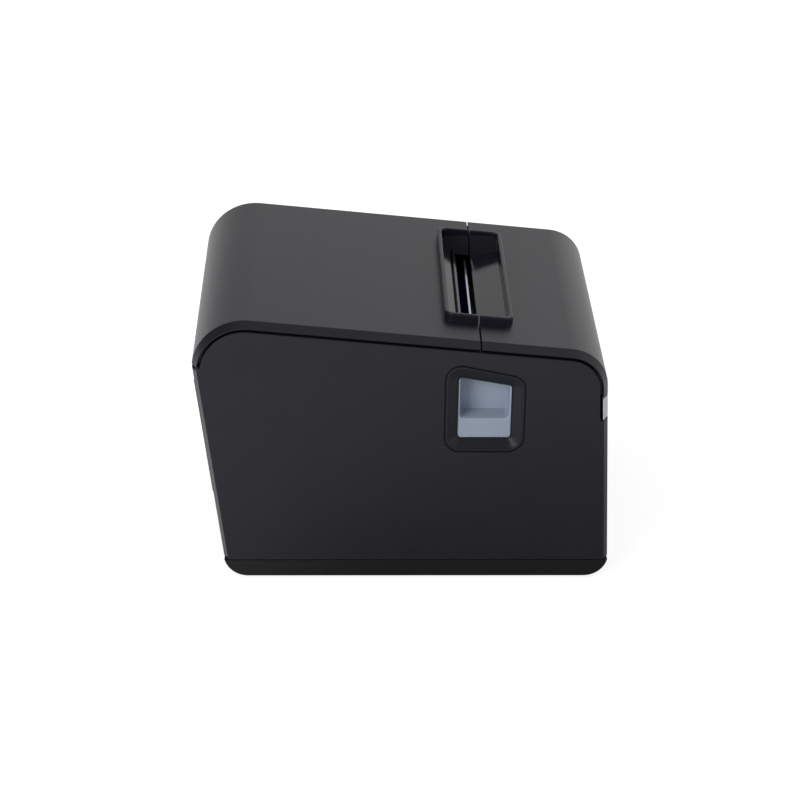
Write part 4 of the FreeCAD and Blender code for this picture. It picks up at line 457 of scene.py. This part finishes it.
def repeat_in_line(tree, shape, given):
    """Ends a tree: one copy of the shape at each step of a line, made real and given its material."""
    line = add(tree, "GeometryNodeMeshLine", {
        "Count": given["Count"], "Start Location": given["Place"], "Offset": given["Step"],
    })
    copies = add(tree, "GeometryNodeInstanceOnPoints", {"Points": line.outputs["Mesh"], "Instance": shape})
    real = add(tree, "GeometryNodeRealizeInstances", {"Geometry": copies.outputs["Instances"]})
    finish = add(tree, "GeometryNodeSetMaterial", {
        "Geometry": real.outputs["Geometry"], "Material": given["Material"],
    })
    add(tree, "NodeGroupOutput", {"Geometry": finish.outputs["Geometry"]})


def grown(name, tree, body, values):
    """The plain mesh that a tree makes from these values, as a piece that rides on a body."""
    piece = bpy.data.objects.new(name, bpy.data.meshes.new(name))
    bpy.context.scene.collection.objects.link(piece)
    growth = piece.modifiers.new("growth", "NODES")
    growth.node_group = tree
    for item in tree.interface.items_tree:
        if item.in_out == "INPUT":
            growth[item.identifier] = values[item.name]
    bpy.context.view_layer.update()
    made = bpy.data.meshes.new_from_object(piece.evaluated_get(bpy.context.evaluated_depsgraph_get()))
    piece.modifiers.remove(growth)
    piece.data = made
    made.name = name
    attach(piece, body)
    print(name, "has", len(made.polygons), "faces")
    return piece


LINE = {"Count": "Int", "Place": "Vector", "Step": "Vector", "Material": "Material"}
print("every tree takes:", list(LINE))

# %% [markdown]
# ## Coil springs
# One spring pushes the release lever up, and two press the print head against the platen. In the imported
# model they are plain tubes of the right size. A real one is drawn wire wound into a helix: the tree
# winds a spiral, sweeps a round wire along it and turns it to lie along its axis. The coils take their
# size from the tubes, which they hide.

# %% Wind the springs
WIRE = 0.4 * MM
spring_tree, given = new_growth("coil_spring", {
    "Turns": "Float", "Radius": "Float", "Length": "Float", "Wire": "Float", "Turn": "Vector", **LINE,
})
spiral = add(spring_tree, "GeometryNodeCurveSpiral", {
    "Resolution": 24, "Rotations": given["Turns"], "Start Radius": given["Radius"],
    "End Radius": given["Radius"], "Height": given["Length"],
})
ring = add(spring_tree, "GeometryNodeCurvePrimitiveCircle", {"Resolution": 8, "Radius": given["Wire"]})
wound = add(spring_tree, "GeometryNodeCurveToMesh", {
    "Curve": spiral.outputs["Curve"], "Profile Curve": ring.outputs["Curve"], "Fill Caps": True,
})
turned = add(spring_tree, "GeometryNodeTransform", {
    "Geometry": wound.outputs["Mesh"], "Rotation": given["Turn"],
})
repeat_in_line(spring_tree, turned.outputs["Geometry"], given)

low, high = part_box("lever_spring")
lever_coil = grown("lever_coil", spring_tree, "base", {
    "Turns": 8.0, "Radius": (high.x - low.x) / 2 - WIRE, "Length": high.z - low.z - 2 * WIRE, "Wire": WIRE,
    "Turn": (0.0, 0.0, 0.0), "Count": 1, "Step": (0.0, 0.0, 0.0), "Material": spring_wire,
    "Place": ((low.x + high.x) / 2, (low.y + high.y) / 2, low.z + WIRE),
})
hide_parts("lever_spring")
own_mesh(lever_coil)

low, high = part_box("head_springs")
coil_radius = (high.z - low.z) / 2
head_coils = grown("head_coils", spring_tree, "base", {
    "Turns": 5.0, "Radius": coil_radius - WIRE, "Length": high.y - low.y - 2 * WIRE, "Wire": WIRE,
    "Turn": (-math.pi / 2, 0.0, 0.0), "Count": 2, "Material": spring_wire,
    "Place": (low.x + coil_radius, low.y + WIRE, low.z + coil_radius),
    "Step": (high.x - low.x - 2 * coil_radius, 0.0, 0.0),
})
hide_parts("head_springs")
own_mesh(head_coils)

# %% [markdown]
# ## Guide ribs under the paper roll
# A roll that lay on a smooth trough would drag, so the trough carries a few low ribs for it to slide on.
# The tree draws an arc of the trough, sweeps a small rectangle along it and repeats that across the width.

# %% Ribs in the roll trough
TROUGH_RADIUS, TROUGH_Y, TROUGH_Z = 42 * MM, 35 * MM, 68 * MM
TROUGH_START, TROUGH_SWEEP = math.radians(205), math.radians(130)
RIB_COUNT, RIB_PITCH, RIB_SIZE = 5, 16 * MM, 1.4 * MM
rib_tree, given = new_growth("trough_rib", {"Radius": "Float", "Width": "Float", "Height": "Float", **LINE})
arc = add(rib_tree, "GeometryNodeCurveArc", {
    "Resolution": 48, "Radius": given["Radius"], "Start Angle": TROUGH_START, "Sweep Angle": TROUGH_SWEEP,
})
bar = add(rib_tree, "GeometryNodeCurvePrimitiveQuadrilateral", {
    "Width": given["Height"], "Height": given["Width"],
})
swept = add(rib_tree, "GeometryNodeCurveToMesh", {
    "Curve": arc.outputs["Curve"], "Profile Curve": bar.outputs["Curve"], "Fill Caps": True,
})
upright = add(rib_tree, "GeometryNodeTransform", {
    "Geometry": swept.outputs["Mesh"], "Rotation": (math.pi / 2, 0.0, math.pi / 2),
})
repeat_in_line(rib_tree, upright.outputs["Geometry"], given)
grown("roll_guide_ribs", rib_tree, "base", {
    "Radius": TROUGH_RADIUS, "Width": RIB_SIZE, "Height": RIB_SIZE, "Count": RIB_COUNT, "Material": inner_abs,
    "Place": (-RIB_PITCH * (RIB_COUNT - 1) / 2, TROUGH_Y, TROUGH_Z), "Step": (RIB_PITCH, 0.0, 0.0),
})

# %% [markdown]
# ## Contacts in the sockets
# The network socket has eight springy gold-flashed wires and the drawer socket six. Each one leaves the
# roof of the socket, bends and slopes back into it, so one curved wire repeated at the right spacing
# makes a row.

# %% Socket contacts
CONTACT_PITCH, CONTACT_WIRE = 1.02 * MM, 0.22 * MM
CONTACT_DROP, CONTACT_REACH = -3.4 * MM, -6.5 * MM
CONTACT_Y, CONTACT_Z = 72.0 * MM, 24.6 * MM
contact_tree, given = new_growth("contact_row", {"Wire": "Float", "Drop": "Float", "Reach": "Float", **LINE})
knee = add(contact_tree, "ShaderNodeCombineXYZ", {"Z": given["Drop"]})
tip = add(contact_tree, "ShaderNodeCombineXYZ", {"Y": given["Reach"], "Z": given["Drop"]})
bend = add(contact_tree, "GeometryNodeCurveQuadraticBezier", {
    "Resolution": 10, "Start": (0.0, 0.0, 0.0),
    "Middle": knee.outputs["Vector"], "End": tip.outputs["Vector"],
})
round_wire = add(contact_tree, "GeometryNodeCurvePrimitiveCircle", {"Resolution": 8, "Radius": given["Wire"]})
strand = add(contact_tree, "GeometryNodeCurveToMesh", {
    "Curve": bend.outputs["Curve"], "Profile Curve": round_wire.outputs["Curve"], "Fill Caps": True,
})
repeat_in_line(contact_tree, strand.outputs["Mesh"], given)
for socket, count, middle_x in (("lan", 8, 2.5 * MM), ("drawer", 6, 38.5 * MM)):
    grown(f"{socket}_contacts", contact_tree, "base", {
        "Wire": CONTACT_WIRE, "Drop": CONTACT_DROP, "Reach": CONTACT_REACH, "Count": count,
        "Place": (middle_x - CONTACT_PITCH * (count - 1) / 2, CONTACT_Y, CONTACT_Z),
        "Step": (CONTACT_PITCH, 0.0, 0.0), "Material": contact_gold,
    })

# %% [markdown]
# ## The floor
# The printer stands on a plain white sweep. It is white to the eye, but it still takes the object's
# shadow, because part of it is a plain diffuse surface. Soft bounced light meets a grey floor instead, so
# that the white doesn't light the object from below. In mirrors the floor's glow carries painted shade:
# it is painted darker close to the printer's front corner and a little brighter than white further off,
# so the lever's side gets darker towards the base and the front.

# %% Floor
FLOOR_HALF = 6.0
FLOOR_CORNERS = [
    (-FLOOR_HALF, -FLOOR_HALF, 0), (FLOOR_HALF, -FLOOR_HALF, 0),
    (FLOOR_HALF, FLOOR_HALF, 0), (-FLOOR_HALF, FLOOR_HALF, 0),
]
FLOOR_GLOW = 0.82
SHADE_MIDDLE, SHADE_NEAR, SHADE_FAR = (-0.05, -0.1, 0.0), 0.1, 0.25
SHADED, UNSHADED = 0.25, 1.1  # times the glow, in mirrors

floor_mesh = bpy.data.meshes.new("floor")
floor_mesh.from_pydata(FLOOR_CORNERS, [], [(0, 1, 2, 3)])
floor = bpy.data.objects.new("floor", floor_mesh)
bpy.context.scene.collection.objects.link(floor)


def seen_directly(tree):
    """One for rays from the eye, from mirrors and through glass, and zero for soft bounced light."""
    path = add(tree, "ShaderNodeLightPath").outputs
    eye = add(tree, "ShaderNodeMath", {
        0: path["Is Camera Ray"], 1: path["Is Glossy Ray"],
    }, operation="MAXIMUM")
    return add(tree, "ShaderNodeMath", {
        0: eye.outputs["Value"], 1: path["Is Transmission Ray"],
    }, operation="MAXIMUM").outputs["Value"]


sweep, sweep_tree, sweep_surface = new_material("white_paper_sweep")
bounce = add(sweep_tree, "ShaderNodeBsdfDiffuse", {"Color": (0.30, 0.30, 0.31, 1)})
paper = add(sweep_tree, "ShaderNodeBsdfDiffuse", {"Color": (0.34, 0.34, 0.34, 1)})
place = add(sweep_tree, "ShaderNodeTexCoord").outputs["Object"]
# The glow that mirrors see is painted darker close to the printer's front corner: painted shade, not a shadow
# cast by a lamp.
away = add(sweep_tree, "ShaderNodeVectorMath", {0: place, 1: SHADE_MIDDLE}, operation="DISTANCE")
painted_mirror_shade = add(sweep_tree, "ShaderNodeMapRange", {
    "Value": away.outputs["Value"], "From Min": SHADE_NEAR, "From Max": SHADE_FAR,
    "To Min": SHADED, "To Max": UNSHADED,
}, interpolation_type="SMOOTHSTEP")
level = add(sweep_tree, "ShaderNodeMath", {
    0: painted_mirror_shade.outputs["Result"], 1: add(sweep_tree, "ShaderNodeLightPath").outputs["Is Camera Ray"],
}, operation="MAXIMUM")
strength = add(sweep_tree, "ShaderNodeMath", {
    0: level.outputs["Value"], 1: FLOOR_GLOW,
}, operation="MULTIPLY")
glow = add(sweep_tree, "ShaderNodeEmission", {"Color": WHITE, "Strength": strength.outputs["Value"]})
bright = add(sweep_tree, "ShaderNodeAddShader", {0: paper.outputs["BSDF"], 1: glow.outputs["Emission"]})
choice = add(sweep_tree, "ShaderNodeMixShader", {
    "Fac": seen_directly(sweep_tree), 1: bounce.outputs["BSDF"], 2: bright.outputs["Shader"],
})
sweep_tree.links.new(choice.outputs["Shader"], sweep_surface)
floor_mesh.materials.append(sweep)
print("floor is", 2 * FLOOR_HALF, "m wide")

# %% [markdown]
# ## The room
# The room is white to the eye, and its far wall is white in reflections too, which is what makes black
# plastic turn grey where it leans away. In reflections the ceiling and the rear of the room are dark, so
# the chamfers around the lid, which lean back just enough to mirror the ceiling, stay dark. The room also
# gives an even, soft light from all around.

# %% Room
DARK_SIDE, DARK_FROM, DARK_TO = (-0.3, 0.7, 0.65), 0.0, 0.6  # how far a ray leans that way
BRIGHT_WALL, DARK_WALL = 1.0, 0.2
SOFT_ROOM = 0.55

world = bpy.data.worlds.new("bright_room")
bpy.context.scene.world = world
world.use_nodes = True
room = world.node_tree
room.nodes.clear()
path = add(room, "ShaderNodeLightPath").outputs
way = add(room, "ShaderNodeTexCoord").outputs["Generated"]
lean = add(room, "ShaderNodeVectorMath", {0: way, 1: DARK_SIDE}, operation="DOT_PRODUCT")
far_wall = add(room, "ShaderNodeMapRange", {
    "Value": lean.outputs["Value"], "From Min": DARK_FROM, "From Max": DARK_TO,
    "To Min": BRIGHT_WALL, "To Max": DARK_WALL,
}, interpolation_type="SMOOTHSTEP")
mirrored = add(room, "ShaderNodeMath", {
    0: far_wall.outputs["Result"], 1: path["Is Camera Ray"],
}, operation="MAXIMUM")
soft = add(room, "ShaderNodeBackground", {"Color": (0.95, 0.97, 1.0, 1), "Strength": SOFT_ROOM})
white = add(room, "ShaderNodeBackground", {"Color": WHITE, "Strength": mirrored.outputs["Value"]})
pick = add(room, "ShaderNodeMixShader", {
    "Fac": seen_directly(room), 1: soft.outputs["Background"], 2: white.outputs["Background"],
})
add(room, "ShaderNodeOutputWorld", {"Surface": pick.outputs["Shader"]})
print("room:", world.name)

# %% [markdown]
# ## Lamps
# A large soft lamp overhead and one in front add to the room's own light, and a small one behind the
# lever's side brings out the shape of the lever. They are weak, so that each colour comes out about as it
# was written.

# %% Lamps
MIDDLE = (0, 0, 0.06)


def soft_lamp(name, place, aim, size, watts):
    """A square soft lamp that shines from place towards aim."""
    data = bpy.data.lights.new(name, "AREA")
    data.size = size
    data.energy = watts
    lamp = bpy.data.objects.new(name, data)
    lamp.location = place
    lamp.rotation_euler = (Vector(aim) - Vector(place)).to_track_quat("-Z", "Y").to_euler()
    bpy.context.scene.collection.objects.link(lamp)


soft_lamp("overhead", (0.1, -0.2, 1.5), MIDDLE, size=1.4, watts=2)
soft_lamp("front", (1.1, -0.9, 0.8), MIDDLE, size=1.4, watts=1.8)
soft_lamp("lever_side", (-0.75, 0.55, 0.5), MIDDLE, size=0.5, watts=4.5)
bpy.context.scene.view_settings.view_transform = "Standard"
